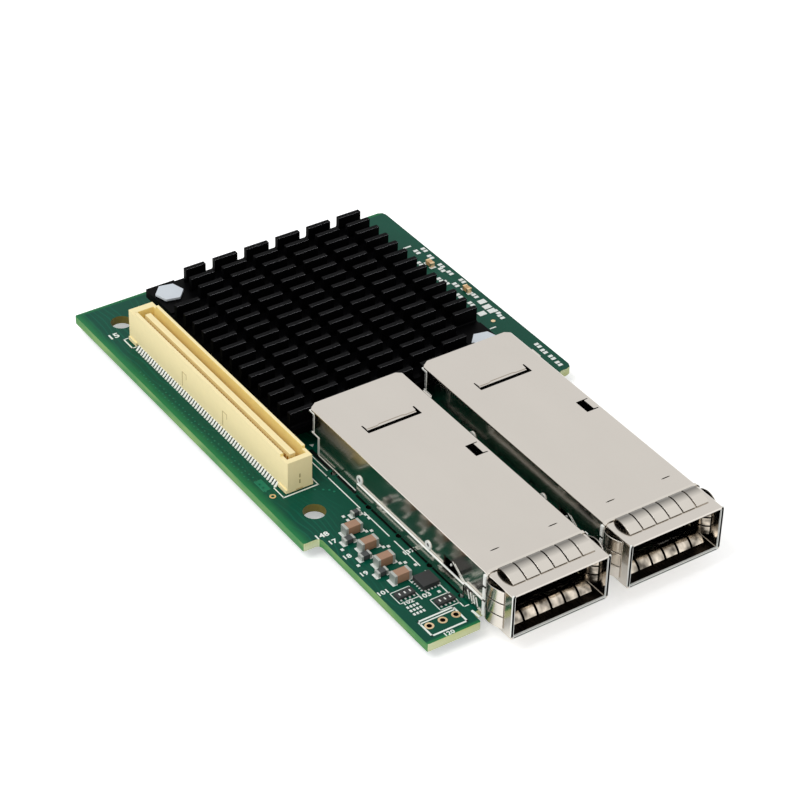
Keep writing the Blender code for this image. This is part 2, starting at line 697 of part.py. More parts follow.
def shell_foot_spans(left):
    """Boxes cut off the foot of a cage shell, at its rear and along its walls."""
    outside = (left - CUT_MARGIN, left + CAGE_WIDTH + CUT_MARGIN)
    setback = CAGE_REAR + SIDE_REAR_SETBACK
    return [
        (outside, (CAGE_REAR - CUT_MARGIN, setback), (-CUT_MARGIN, REAR_WALL_LOW)),
        (outside, (setback - CUT_MARGIN, CAGE_REAR + COLLAR_REAR - SEAT_GAP),
         (-CUT_MARGIN, WALL_BASE)),
    ]


def lip_corner_outlines(left):
    """Plans of the wedges cut off both ends of the lip at the rear of a cage top."""
    slope = LIP_CORNER_DEPTH / LIP_CORNER
    lip = -CAGE_REAR + REAR_LIP
    reach = CUT_MARGIN / slope
    outlines = []
    for side, wall in ((1, left), (-1, left + CAGE_WIDTH)):
        outside = wall - side * CUT_MARGIN
        outlines.append([(outside, lip - slope * (LIP_CORNER + CUT_MARGIN)),
                         (wall + side * (LIP_CORNER + reach), lip + CUT_MARGIN),
                         (outside, lip + CUT_MARGIN)])
    return outlines


def top_outlines(left):
    """Plans of the slits round the lanced tab, the window and the formed slits in a cage top."""
    tab_left = left + TAB_LEFT
    tab_right = left + CAGE_WIDTH - TAB_FROM_RIGHT
    tab_rear = -CAGE_REAR - TAB_REAR
    tab_front = tab_rear - TAB_LENGTH
    tab_edge = tab_front + TAB_GAP
    relief = (tab_left + TAB_RELIEF_INSET, tab_right - TAB_RELIEF_INSET)
    slit_end = left + CAGE_WIDTH - WINDOW_FROM_RIGHT
    tongue = slit_end - WINDOW_TONGUE
    window_left = tongue - WINDOW_WIDTH
    window_rear = -CAGE_REAR - WINDOW_REAR
    window_front = window_rear - WINDOW_LENGTH
    outlines = [
        [(tab_left, tab_rear), (tab_left + TAB_SLIT, tab_rear), (tab_left + TAB_SLIT, tab_edge),
         (relief[0], tab_edge), (relief[0], tab_edge + TAB_RELIEF),
         (relief[1], tab_edge + TAB_RELIEF), (relief[1], tab_edge),
         (tab_right - TAB_SLIT, tab_edge), (tab_right - TAB_SLIT, tab_rear),
         (tab_right, tab_rear), (tab_right, tab_front), (tab_left, tab_front)],
        [(window_left, window_rear), (slit_end, window_rear),
         (slit_end, window_rear - WINDOW_SLIT), (tongue, window_rear - WINDOW_SLIT),
         (tongue, window_front + WINDOW_SLIT), (slit_end, window_front + WINDOW_SLIT),
         (slit_end, window_front), (window_left, window_front)],
    ]
    rear = SLIT_FROM_MOUTH - CARD_LENGTH
    for start in (left + SLIT_FROM_LEFT, left + CAGE_WIDTH - SLIT_FROM_RIGHT - SLIT_LENGTH):
        outlines.append([(start, rear), (start + SLIT_LENGTH, rear),
                         (start + SLIT_LENGTH, rear - SLIT_WIDTH), (start, rear - SLIT_WIDTH)])
    return outlines


def latch_cutter(name, left):
    """Four-sided latch windows through both side walls of a cage."""
    rear = LATCH_FROM_MOUTH - CARD_LENGTH
    outline = [(rear, LATCH_BOTTOM), (rear, LATCH_TOP), (rear - LATCH_TOP_LENGTH, LATCH_TOP),
               (rear - LATCH_LENGTH, LATCH_BOTTOM)]
    reach = SHEET + CUT_MARGIN
    near = plate_mesh(name, [outline], left - reach, left + reach, side_place())
    right = left + CAGE_WIDTH
    far = plate_mesh(name, [outline], right - reach, right + reach, side_place())
    return merge_meshes(name, [near, far])


def build_shell(side, left, material):
    """Folded sheet shell of one port cage."""
    name = "cage_shell_" + side
    right = left + CAGE_WIDTH
    outer = folded_block(name, (left, right), (CAGE_REAR - REAR_LIP, CARD_LENGTH),
                         (SEAT_GAP, CAGE_HEIGHT), CAGE_EDGE_RADIUS)
    inner = folded_block(name + "_inside", (left + SHEET, right - SHEET),
                         (CAGE_REAR + SHEET, CARD_LENGTH + CUT_MARGIN),
                         (SEAT_GAP - CUT_MARGIN, CAGE_HEIGHT - SHEET), CAGE_EDGE_RADIUS - SHEET)
    piece = add_piece(name, outer, material)
    cut(piece, name + "_inside", inner)
    under_lip = ((left - CUT_MARGIN, right + CUT_MARGIN),
                 (CAGE_REAR - REAR_LIP - CUT_MARGIN, CAGE_REAR),
                 (-CUT_MARGIN, CAGE_HEIGHT - SHEET))
    cut(piece, "under_lip_" + side, box_mesh("under_lip_" + side, [under_lip]))
    corners = [plate_mesh("lip_corner", [outline], CAGE_HEIGHT - LIP_CORNER_LOW,
                          CAGE_HEIGHT + CUT_MARGIN, flat_place())
               for outline in lip_corner_outlines(left)]
    cut(piece, "lip_corners_" + side, merge_meshes("lip_corners_" + side, corners))
    for index, span in enumerate(shell_foot_spans(left)):
        tool = "shell_foot_%s_%d" % (side, index)
        cut(piece, tool, box_mesh(tool, [span]))
    openings = [plate_mesh("opening", [outline], CAGE_HEIGHT - SHEET - CUT_MARGIN / 2,
                           CAGE_HEIGHT + CUT_MARGIN, flat_place())
                for outline in top_outlines(left)]
    cut(piece, "top_openings_" + side, merge_meshes("top_openings_" + side, openings))
    cut(piece, "latch_windows_" + side, latch_cutter("latch_windows_" + side, left))


def floor_outline(left):
    """Plan of a cage floor: wide where it carries tails and flanges, else between the walls."""
    flange = SEAT_GAP + FLOOR_SHEET + FLANGE_INSET
    wide = (left - flange, left + CAGE_WIDTH + flange)
    narrow = (left + SHEET + SEAT_GAP, left + CAGE_WIDTH - SHEET - SEAT_GAP)
    rear = -CAGE_REAR - FLOOR_REAR
    wide_start = -CAGE_REAR - FLANGE_REAR + FLANGE_INSET
    shoulder = -CAGE_REAR - COLLAR_REAR + 2 * SEAT_GAP
    wide_end = shoulder + SHOULDER_SLOPE
    lug_rear = -CAGE_REAR - TAIL_FROM_REAR + TAIL_LUG / 2
    lug_front = lug_rear - TAIL_LUG
    half = [(narrow[0], rear), (narrow[0], lug_rear), (wide[0], lug_rear), (wide[0], lug_front),
            (narrow[0], lug_front), (narrow[0], wide_start + SHOULDER_SLOPE),
            (wide[0], wide_start), (wide[0], wide_end), (narrow[0], shoulder),
            (narrow[0], -CARD_LENGTH)]
    middle = left + CAGE_WIDTH / 2
    return half + [(2 * middle - across, along) for across, along in reversed(half)]


def build_floor(side, left, material):
    """Floor of one cage with its connector opening, slots, side flanges and solder tails."""
    name = "cage_floor_" + side
    middle = left + CAGE_WIDTH / 2
    reach = PORT_WIDTH / 2 + FLOOR_OPENING_MARGIN
    rear = -CAGE_REAR - PORT_REAR + FLOOR_OPENING_MARGIN
    front = -CAGE_REAR - PORT_REAR - PORT_DEPTH - FLOOR_OPENING_MARGIN
    opening = [(middle - reach, rear), (middle - reach, front), (middle + reach, front),
               (middle + reach, rear)]
    loops = [floor_outline(left), opening]
    for station in floor_slot_stations():
        for middle in (left + FLOOR_SLOT_FROM_SIDE, left + CAGE_WIDTH - FLOOR_SLOT_FROM_SIDE):
            rear = -CAGE_REAR - station
            loops.append([(middle - FLOOR_SLOT_WIDTH / 2, rear),
                          (middle - FLOOR_SLOT_WIDTH / 2, rear - FLOOR_SLOT_LENGTH),
                          (middle + FLOOR_SLOT_WIDTH / 2, rear - FLOOR_SLOT_LENGTH),
                          (middle + FLOOR_SLOT_WIDTH / 2, rear)])
    piece = add_piece(name, plate_mesh(name, loops, SEAT_GAP, SEAT_GAP + FLOOR_SHEET,
                                       flat_place()), material)
    rear = -CAGE_REAR - FLANGE_REAR
    jog = JOG_FROM_MOUTH - CARD_LENGTH
    front = -CAGE_REAR - COLLAR_REAR + 2 * SEAT_GAP + SHOULDER_SLOPE + FLANGE_INSET
    base = SEAT_GAP + FLOOR_SHEET / 2
    flange = [(rear, base), (rear, FLANGE_HEIGHT), (jog, FLANGE_HEIGHT),
              (jog, FLOOR_SHEET + 2 * SEAT_GAP), (jog - FLANGE_JOG_GAP, FLOOR_SHEET + 2 * SEAT_GAP),
              (jog - FLANGE_JOG_GAP, FLANGE_FRONT_HEIGHT), (front, FLANGE_FRONT_HEIGHT),
              (front, base)]
    meshes = []
    tails = []
    for middle in flange_lines(left):
        meshes.append(plate_mesh("flange", [flange], middle - FLOOR_SHEET / 2,
                                 middle + FLOOR_SHEET / 2, side_place()))
        for station in tail_stations():
            tails.append(((middle - FLOOR_SHEET / 3, middle + FLOOR_SHEET / 3),
                          (CAGE_REAR + station - TAIL_WIDTH / 2,
                           CAGE_REAR + station + TAIL_WIDTH / 2),
                          (-BOARD_THICKNESS - UNDERSIDE_DROP, base)))
    join(piece, "flanges_" + side, merge_meshes("flanges_" + side, meshes))
    join(piece, "tails_" + side, box_mesh("tails_" + side, tails))


def finger_outline(start, length, rise, sheet):
    """Section of a spring finger: an arch of sheet that starts at its root and lands flat."""
    upper = []
    lower = []
    for step in range(ARCH_SEGMENTS + 1):
        share = step / ARCH_SEGMENTS
        along = start + length * share
        level = rise * math.sin(math.pi * share)
        lower.append((along, level))
        upper.append((along, level + sheet))
    return lower + upper[::-1]


def band_matrix(direction, mouth, side_middle, top, bottom):
    """Matrix that carries a finger section (along, height, width) to one side of the mouth.

    Args:
        direction: +1 when the fingers arch away from the mouth, -1 when they arch into it.
        mouth: which wall the band lies on, top, bottom, left or right.
        side_middle: (left, right) of the wall faces that the band stands on.
        top: height of the upper wall face.
        bottom: height of the lower wall face.
    """
    left, right = side_middle
    if mouth in ("top", "bottom"):
        sign = direction if mouth == "top" else -direction
        place = card_point((left + right) / 2, 0.0, top if mouth == "top" else bottom)
        axes = ((0, 0, 1), (-1, 0, 0), (0, sign, 0))
    else:
        sign = direction if mouth == "right" else -direction
        place = card_point(right if mouth == "right" else left, 0.0, (top + bottom) / 2)
        axes = ((0, sign, 0), (-1, 0, 0), (0, 0, 1))
    turn = Matrix([(*row, 0) for row in axes] + [(0, 0, 0, 1)])
    return Matrix.Translation(place) @ turn


def collar_meshes(rear, arch, direction, faces, corner):
    """Fingers of a collar on the four walls of a cage mouth.

    Args:
        rear: station of the collar's root.
        arch: length of each finger's arch.
        direction: +1 for fingers outside the walls, -1 for fingers inside them.
        faces: (left, right, bottom, top) of the wall faces that the collar stands on.
        corner: length left free of fingers at each corner.
    """
    left, right, bottom, top = faces
    bite = COLLAR_SHEET / 10
    outline = finger_outline(rear + COLLAR_ROOT / 2, COLLAR_ROOT / 2 + arch, FINGER_RISE,
                             COLLAR_SHEET - 2 * bite)
    outline = [(along, level + bite) for along, level in outline]
    meshes = []
    for mouth, length, count in (("top", right - left, FINGERS_WIDE),
                                 ("bottom", right - left, FINGERS_WIDE),
                                 ("left", top - bottom, FINGERS_HIGH),
                                 ("right", top - bottom, FINGERS_HIGH)):
        place = band_matrix(direction, mouth, (left, right), top, bottom)
        pitch = (length - 2 * corner + FINGER_SLIT) / count
        for index in range(count):
            start = -length / 2 + corner + pitch * index
            meshes.append(plate_mesh("finger", [outline], start, start + pitch - FINGER_SLIT,
                                     place))
    return meshes


def build_collar(name, rear, arch, direction, faces, corner, material):
    """Spring finger collar: a rectangular ring of sheet with arched fingers on all four sides."""
    left, right, bottom, top = faces
    near = [(left, bottom), (right, bottom), (right, top), (left, top)]
    grow = direction * COLLAR_SHEET
    far = [(left - grow, bottom - grow), (right + grow, bottom - grow),
           (right + grow, top + grow), (left - grow, top + grow)]
    loops = [far, near] if direction > 0 else [near, far]
    ring = plate_mesh(name, loops, rear, rear + COLLAR_ROOT, front_place())
    piece = add_piece(name, ring, material)
    fingers = collar_meshes(rear, arch, direction, faces, corner)
    join(piece, name + "_fingers", merge_meshes(name + "_fingers", fingers))


def build_collars(side, left, material):
    """Outer and inner spring finger collars of one cage mouth."""
    right = left + CAGE_WIDTH
    outside = (left - SEAT_GAP, right + SEAT_GAP, 0.0, CAGE_HEIGHT + SEAT_GAP)
    build_collar("outer_fingers_" + side, CAGE_REAR + COLLAR_REAR, COLLAR_ARCH, 1, outside,
                 FINGER_CORNER, material)
    wall = SHEET + SEAT_GAP
    inside = (left + wall, right - wall, WALL_BASE, CAGE_HEIGHT - wall)
    build_collar("inner_fingers_" + side, CAGE_REAR + INNER_COLLAR_REAR, INNER_COLLAR_ARCH, -1,
                 inside, INNER_FINGER_CORNER, material)


def build_port(side, left, material):
    """Card edge receptacle at the back of one cage, with its slot and stepped nose."""
    name = "port_receptacle_" + side
    middle = left + CAGE_WIDTH / 2
    rear = CAGE_REAR + PORT_REAR
    front = rear + PORT_DEPTH
    across = (middle - PORT_WIDTH / 2, middle + PORT_WIDTH / 2)
    piece = add_piece(name, box_mesh(name, [(across, (rear, front), (SEAT_GAP, PORT_HEIGHT))]),
                      material)
    cut(piece, name + "_slot", box_mesh(name + "_slot", [
        ((middle - PORT_SLOT_WIDTH / 2, middle + PORT_SLOT_WIDTH / 2),
         (front - PORT_SLOT_DEPTH, front + CUT_MARGIN),
         (PORT_SLOT_BASE, PORT_SLOT_BASE + PORT_SLOT_HEIGHT))]))
    cut(piece, name + "_nose", box_mesh(name + "_nose", [
        ((across[0] - CUT_MARGIN, across[1] + CUT_MARGIN),
         (front - PORT_NOSE_STEP, front + CUT_MARGIN),
         (PORT_HEIGHT - PORT_NOSE_DROP, PORT_HEIGHT + CUT_MARGIN))]))


def build_block(name, place, size, material, edge):
    """A small rectangular part on the board, placed from the board's left and front edges."""
    across, from_front = place
    along = BOARD_LENGTH - from_front
    length, depth, height = size
    span = ((across - length / 2, across + length / 2), (along - depth / 2, along + depth / 2),
            (SEAT_GAP, SEAT_GAP + height))
    soften(add_piece(name, box_mesh(name, [span]), material), edge)


def build_small_parts(materials):
    """Capacitors, inductors, filter, regulator and resistor networks."""
    for index in range(CAPACITOR_COUNT):
        from_front = CAPACITOR_FROM_FRONT + CAPACITOR_PITCH * (CAPACITOR_COUNT - 1 - index)
        place = (CAPACITOR_ACROSS, from_front)
        build_block("capacitor_%d" % (index + 1), place, CAPACITOR_SIZE, materials["ceramic"],
                    CAPACITOR_EDGE)
    for index in range(INDUCTOR_COUNT):
        from_front = INDUCTOR_FROM_FRONT + INDUCTOR_PITCH * (INDUCTOR_COUNT - 1 - index)
        place = (INDUCTOR_ACROSS, from_front)
        build_block("inductor_%d" % (index + 1), place, INDUCTOR_SIZE, materials["ferrite"],
                    SMALL_PART_EDGE)
    build_block("filter_bead", FILTER_PLACE, FILTER_SIZE, materials["ferrite"], SMALL_PART_EDGE)
    build_block("regulator_chip", REGULATOR_PLACE, REGULATOR_SIZE, materials["moulding"],
                SMALL_PART_EDGE)
    for index, place in enumerate(NETWORK_PLACES):
        build_block("resistor_network_%d" % (index + 1), place, NETWORK_SIZE,
                    materials["moulding"], SMALL_PART_EDGE)
    for index, (from_right, along) in enumerate(EDGE_CAPACITOR_PLACES):
        place = (BOARD_WIDTH - from_right, BOARD_LENGTH - along)
        build_block("edge_capacitor_%d" % (index + 1), place, EDGE_CAPACITOR_SIZE,
                    materials["ceramic"], SMALL_PART_EDGE)


def main():
    """Build the card."""
    clear_scene()
    make_collection(PARTS)
    make_collection(CUTTERS)
    materials = {
        "board": make_material("board_green", (0.02, 0.16, 0.11), 0.35),
        "housing": make_material("connector_cream", (0.80, 0.70, 0.46), 0.45),
        "anodised": make_material("black_anodised", (0.015, 0.015, 0.016), 0.4, 0.6),
        "substrate": make_material("package_green", (0.05, 0.15, 0.08), 0.5),
        "nickel": make_material("nickel_lid", (0.6, 0.6, 0.58), 0.3, 1.0),
        "thermal": make_material("thermal_pad_grey", (0.45, 0.47, 0.5), 0.7),
        "nylon": make_material("pale_screw", (0.66, 0.70, 0.74), 0.4),
        "steel": make_material("nut_steel", (0.6, 0.6, 0.6), 0.35, 1.0),
        "cage": make_material("cage_nickel_silver", (0.66, 0.63, 0.59), 0.25, 1.0),
        "spring": make_material("spring_nickel", (0.70, 0.68, 0.64), 0.2, 1.0),
        "moulding": make_material("black_moulding", (0.02, 0.02, 0.02), 0.5),
        "ceramic": make_material("capacitor_brown", (0.38, 0.20, 0.12), 0.45),
        "ferrite": make_material("ferrite_grey", (0.06, 0.07, 0.065), 0.5),
    }
    build_board(materials["board"])
    build_connector(materials["housing"])
    build_heatsink(materials["anodised"])
    build_chip(materials["substrate"], materials["nickel"], materials["thermal"])
    build_fasteners(materials["nylon"], materials["steel"])
    for side, left in zip(("left", "right"), cage_lefts()):
        build_shell(side, left, materials["cage"])
        build_floor(side, left, materials["cage"])
        build_collars(side, left, materials["spring"])
        build_port(side, left, materials["moulding"])
    build_small_parts(materials)


main()
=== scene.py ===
"""Looks of a mezzanine network card: finishes, contacts, formed sheet details, print and light.

Places are in card measures, in millimetres: across from the board's left edge, along from its
rear edge and up from its top face. CardFrame turns them into the frame's metres.
"""

import json
import logging
import math
from dataclasses import dataclass
from enum import Enum
from typing import Callable, Iterable, Optional, Sequence

import bmesh
import bpy
from mathutils import Matrix, Vector

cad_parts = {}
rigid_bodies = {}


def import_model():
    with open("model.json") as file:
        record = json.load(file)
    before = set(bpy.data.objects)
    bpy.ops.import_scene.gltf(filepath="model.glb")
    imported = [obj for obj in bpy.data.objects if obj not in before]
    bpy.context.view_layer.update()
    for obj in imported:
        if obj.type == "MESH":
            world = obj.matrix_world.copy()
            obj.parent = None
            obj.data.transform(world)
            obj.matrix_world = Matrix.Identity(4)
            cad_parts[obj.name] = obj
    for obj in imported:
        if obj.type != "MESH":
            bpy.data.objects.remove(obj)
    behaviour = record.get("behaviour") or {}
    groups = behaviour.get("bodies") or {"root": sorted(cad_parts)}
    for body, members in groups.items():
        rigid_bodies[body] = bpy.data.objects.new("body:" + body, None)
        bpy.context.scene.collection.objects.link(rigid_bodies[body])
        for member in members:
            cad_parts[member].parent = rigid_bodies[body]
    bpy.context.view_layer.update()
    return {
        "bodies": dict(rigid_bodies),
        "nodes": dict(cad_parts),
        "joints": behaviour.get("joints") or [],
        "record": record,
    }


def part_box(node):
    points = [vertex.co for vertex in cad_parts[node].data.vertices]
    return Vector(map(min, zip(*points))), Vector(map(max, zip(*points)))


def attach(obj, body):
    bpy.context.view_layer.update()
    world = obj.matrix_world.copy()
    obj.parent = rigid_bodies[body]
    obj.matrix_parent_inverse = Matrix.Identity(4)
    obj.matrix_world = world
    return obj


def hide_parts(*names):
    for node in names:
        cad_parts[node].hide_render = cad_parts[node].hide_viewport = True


LOG = logging.getLogger("network_card")
MM = 0.001
BODY = "root"
SHARP_ANGLE = math.radians(35.0)
FLAT_ANGLE = math.radians(0.5)
WELD = 0.001
# How far a shape reaches into the one that carries it
LAP = 0.1

Span = tuple[float, float]
Point = tuple[float, float]
Colour = tuple[float, float, float]
Triple = tuple[float, float, float]


def from_screen(red: int, green: int, blue: int) -> Colour:
    """Linear colour of an 8-bit screen colour.

    Args:
        red: Red from 0 to 255.
        green: Green from 0 to 255.
        blue: Blue from 0 to 255.

    Returns:
        The same colour in linear light.
    """
    def linear(value: int) -> float:
        """Linear light of one channel."""
        share = value / 255.0
        return share / 12.92 if share <= 0.04045 else ((share + 0.055) / 1.055) ** 2.4
    return (linear(red), linear(green), linear(blue))


@dataclass(frozen=True)
class CardFrame:
    """Where the card's measures lie in the frame.

    Attributes:
        left: X of the board's left edge, in metres.
        rear: Y of the board's rear edge, in metres.
        top: Z of the board's top face, in metres.
    """
    left: float
    rear: float
    top: float

    @classmethod
    def measured(cls) -> "CardFrame":
        """Read the frame of the card from the circuit board's box."""
        low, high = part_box("circuit_board")
        return cls(left=low.x, rear=high.y, top=high.z)

    def matrix(self) -> Matrix:
        """Matrix from (across, along, up) in millimetres to the frame in metres."""
        place = Matrix.Translation((self.left, self.rear, self.top))
        return place @ Matrix.Diagonal((MM, -MM, MM, 1.0))

    def spans(self, node: str) -> tuple[Span, Span, Span]:
        """Extent of a CAD node in card measures.

        Args:
            node: Name of the node.

        Returns:
            (low, high) across, along and up, in millimetres.
        """
        low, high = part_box(node)
        return (((low.x - self.left) / MM, (high.x - self.left) / MM),
                ((self.rear - high.y) / MM, (self.rear - low.y) / MM),
                ((low.z - self.top) / MM, (high.z - self.top) / MM))


class Plane(Enum):
    """Plane of an outline, with the way that its thickness runs."""
    TOP = Matrix.Identity(4)
    SIDE = Matrix(((0, 0, 1, 0), (1, 0, 0, 0), (0, 1, 0, 0), (0, 0, 0, 1)))
    FRONT = Matrix(((1, 0, 0, 0), (0, 0, 1, 0), (0, 1, 0, 0), (0, 0, 0, 1)))


def rectangle(across: Span, along: Span) -> list[Point]:
    """Four corners of a rectangle given by its two spans."""
    return [(across[0], along[0]), (across[1], along[0]), (across[1], along[1]),
            (across[0], along[1])]


def around(middle: float, half: float) -> Span:
    """Span that reaches equally far to both sides of its middle."""
    return (middle - half, middle + half)


def beside(edge: float, way: int, near: float, far: float) -> Span:
    """Span between two distances from an edge.

    Args:
        edge: Place of the edge.
        way: +1 or -1, the way in which both distances run.
        near: First distance, below 0 where it lies behind the edge.
        far: Second distance.

    Returns:
        The span, low end first.
    """
    low, high = sorted((edge + way * near, edge + way * far))
    return (low, high)


def ring_points(centre: Point, radius: float, count: int) -> list[Point]:
    """Points round a circle."""
    return [(centre[0] + radius * math.cos(2 * math.pi * i / count),
             centre[1] + radius * math.sin(2 * math.pi * i / count)) for i in range(count)]


def ribbon(path: Sequence[Point], thickness: float) -> list[Point]:
    """Outline of a sheet of even thickness whose middle follows a path.

    Args:
        path: Points of the sheet's middle line.
        thickness: Thickness of the sheet.

    Returns:
        The closed outline of its section.
    """
    near: list[Point] = []
    far: list[Point] = []
    for index, point in enumerate(path):
        before = Vector(path[max(index - 1, 0)])
        after = Vector(path[min(index + 1, len(path) - 1)])
        ahead = (after - before).normalized()
        side = Vector((-ahead.y, ahead.x)) * thickness / 2
        near.append((point[0] + side.x, point[1] + side.y))
        far.append((point[0] - side.x, point[1] - side.y))
    return near + far[::-1]


class Graph:
    """Short calls that wire up one material."""

    def __init__(self, name: str) -> None:
        """Start a material with its Principled shader.

        Args:
            name: Name of the material.
        """
        self.material = bpy.data.materials.new(name)
        self.material.use_nodes = True
        self.nodes = self.material.node_tree.nodes
        self.links = self.material.node_tree.links
        self.shader = self.nodes["Principled BSDF"]
        self.coordinates = self.nodes.new("ShaderNodeTexCoord").outputs["Object"]

    def set(self, socket: str, value: object) -> None:
        """Set or link one input of the shader."""
        if isinstance(value, bpy.types.NodeSocket):
            self.links.new(value, self.shader.inputs[socket])
        elif isinstance(value, tuple):
            self.shader.inputs[socket].default_value = (*value, 1.0)
        else:
            self.shader.inputs[socket].default_value = value

    def feed(self, socket: bpy.types.NodeSocket, value: object) -> None:
        """Link a socket into another, or set it to a plain value."""
        if isinstance(value, bpy.types.NodeSocket):
            self.links.new(value, socket)
        elif isinstance(value, tuple) and len(socket.default_value) == 4:
            socket.default_value = (*value, 1.0)
        else:
            socket.default_value = value

    def scaled(self, scale: Triple) -> bpy.types.NodeSocket:
        """Object coordinates stretched by a scale along each axis."""
        node = self.nodes.new("ShaderNodeMapping")
        self.links.new(self.coordinates, node.inputs["Vector"])
        node.inputs["Scale"].default_value = scale
        return node.outputs["Vector"]

    def noise(self, scale: Triple, detail: float = 3.0,
              roughness: float = 0.5) -> bpy.types.NodeSocket:
        """Noise from 0 to 1 with so many cells a metre along each axis."""
        node = self.nodes.new("ShaderNodeTexNoise")
        self.links.new(self.scaled(scale), node.inputs["Vector"])
        node.inputs["Scale"].default_value = 1.0
        node.inputs["Detail"].default_value = detail
        node.inputs["Roughness"].default_value = roughness
        return node.outputs["Fac"]

    def calc(self, operation: str, first: object, second: object = 0.0,
             third: object = 0.0) -> bpy.types.NodeSocket:
        """One sum on up to three values."""
        node = self.nodes.new("ShaderNodeMath")
        node.operation = operation
        for socket, value in zip(node.inputs, (first, second, third)):
            self.feed(socket, value)
        return node.outputs["Value"]

    def spread(self, value: bpy.types.NodeSocket, source: Span,
               target: Span) -> bpy.types.NodeSocket:
        """Carry a value from one range to another, held at its ends."""
        node = self.nodes.new("ShaderNodeMapRange")
        self.links.new(value, node.inputs["Value"])
        for name, number in zip(("From Min", "From Max", "To Min", "To Max"), source + target):
            node.inputs[name].default_value = number
        return node.outputs["Result"]

    def blend(self, share: object, first: object, second: object) -> bpy.types.NodeSocket:
        """Mix two colours by a share."""
        node = self.nodes.new("ShaderNodeMix")
        node.data_type = "RGBA"
        self.feed(node.inputs["Factor"], share)
        self.feed(node.inputs[6], first)
        self.feed(node.inputs[7], second)
        return node.outputs[2]

    def bump(self, height: bpy.types.NodeSocket, strength: float, distance: float,
             below: Optional[bpy.types.NodeSocket] = None) -> bpy.types.NodeSocket:
        """Normal of a surface raised by a height field."""
        node = self.nodes.new("ShaderNodeBump")
        node.inputs["Strength"].default_value = strength
        node.inputs["Distance"].default_value = distance
        self.links.new(height, node.inputs["Height"])
        if below is not None:
            self.links.new(below, node.inputs["Normal"])
        return node.outputs["Normal"]

    def axis(self, name: str) -> bpy.types.NodeSocket:
        """One Object coordinate, in metres."""
        node = self.nodes.new("ShaderNodeSeparateXYZ")
        self.links.new(self.coordinates, node.inputs["Vector"])
        return node.outputs[name]

    def facing(self, name: str) -> bpy.types.NodeSocket:
        """One component of the surface's own normal."""
        geometry = self.nodes.new("ShaderNodeNewGeometry")
        node = self.nodes.new("ShaderNodeSeparateXYZ")
        self.links.new(geometry.outputs["Normal"], node.inputs["Vector"])
        return node.outputs[name]


@dataclass(frozen=True)
class Finish:
    """A plain moulded, fired or painted surface with fine grain.

    Attributes:
        name: Name of the material.
        colour: Linear base colour.
        roughness: Middle roughness.
        metallic: 1 for bare metal.
        tone: Share by which the colour drifts.
        grain: Cells of grain a metre.
        relief: Strength of the grain's relief.
        depth: Height of the grain, in metres.
        specular: Level of the mirror reflection.
    """
    name: str
    colour: Colour
    roughness: float = 0.45
    metallic: float = 0.0
    tone: float = 0.08
    grain: float = 9000.0
    relief: float = 0.15
    depth: float = 0.00001
    specular: float = 0.5
    # Cells of grain to one patch of drifting colour
    DRIFT = 12

    def material(self) -> bpy.types.Material:
        """Return the finish's material, made once."""
        made = bpy.data.materials.get(self.name)
        return made if made else self.make()

    def shades(self) -> tuple[Colour, Colour]:
        """Darkest and lightest colour of the drift."""
        dark = tuple(channel * (1 - self.tone) for channel in self.colour)
        light = tuple(min(channel * (1 + self.tone), 1.0) for channel in self.colour)
        return dark, light

    def rough(self, graph: Graph, grain: bpy.types.NodeSocket, source: Span = (0.2, 0.8),
              swing: float = 0.15) -> None:
        """Let the roughness follow the grain.

        Args:
            graph: Material that is wired up.
            grain: Noise of the grain.
            source: Range of the noise that is used.
            swing: Share by which the roughness goes up and down.
        """
        ends = (self.roughness * (1 - swing), self.roughness * (1 + swing))
        graph.set("Roughness", graph.spread(grain, source, ends))

    def make(self) -> bpy.types.Material:
        """Wire up the finish."""
        graph = Graph(self.name)
        drift = graph.noise((self.grain / self.DRIFT,) * 3)
        graph.set("Base Color", graph.blend(drift, *self.shades()))
        grain = graph.noise((self.grain,) * 3)
        self.rough(graph, grain)
        graph.set("Metallic", self.metallic)
        graph.set("Specular IOR Level", self.specular)
        graph.set("Normal", graph.bump(grain, self.relief, self.depth))
        return graph.material


@dataclass(frozen=True)
class SheetMetal(Finish):
    """Rolled sheet: streaks along the rolling direction, a slight waviness and an optional band of
    painted shade.

    Attributes:
        wave: Strength of the waviness in the sheet.
        wave_height: Height of the waviness, in metres.
        cells: Waves a metre along each axis.
        contrast: Half of the noise's range that runs from dark to light.
        band: Where a band of painted shade starts, is full, starts to fade and ends along the
            frame's Y.
        painted_shade_share: Share of its colour left in the band of painted shade.
        streak: Length of a streak for its width.
    """
    metallic: float = 1.0
    wave: float = 0.35
    wave_height: float = 0.00006
    cells: Triple = (120.0, 70.0, 120.0)
    contrast: float = 0.5
    band: Optional[tuple[float, float, float, float]] = None
    painted_shade_share: float = 0.3
    streak: float = 40.0

    def make(self) -> bpy.types.Material:
        """Wire up the sheet."""
        graph = Graph(self.name)
        streaks = graph.noise((self.grain, self.grain / self.streak, self.grain))
        cloud = graph.spread(graph.noise(self.cells, detail=2.0),
                             around(0.5, self.contrast), (0.0, 1.0))
        colour = graph.blend(cloud, *self.shades())
        # Painted shade: a band along Y darkened towards black
        if self.band:
            start, full, fade, end = self.band
            along = graph.axis("Y")
            share = graph.calc("MULTIPLY", graph.spread(along, (start, full), (0.0, 1.0)),
                               graph.spread(along, (fade, end), (1.0, 0.0)))
            shaded = graph.blend(self.painted_shade_share, (0.0, 0.0, 0.0), colour)
            colour = graph.blend(share, colour, shaded)
        graph.set("Base Color", colour)
        self.rough(graph, streaks, (0.25, 0.75), 0.2)
        graph.set("Metallic", self.metallic)
        wavy = graph.bump(cloud, self.wave, self.wave_height)
        graph.set("Normal", graph.bump(streaks, self.relief, self.depth, wavy))
        return graph.material


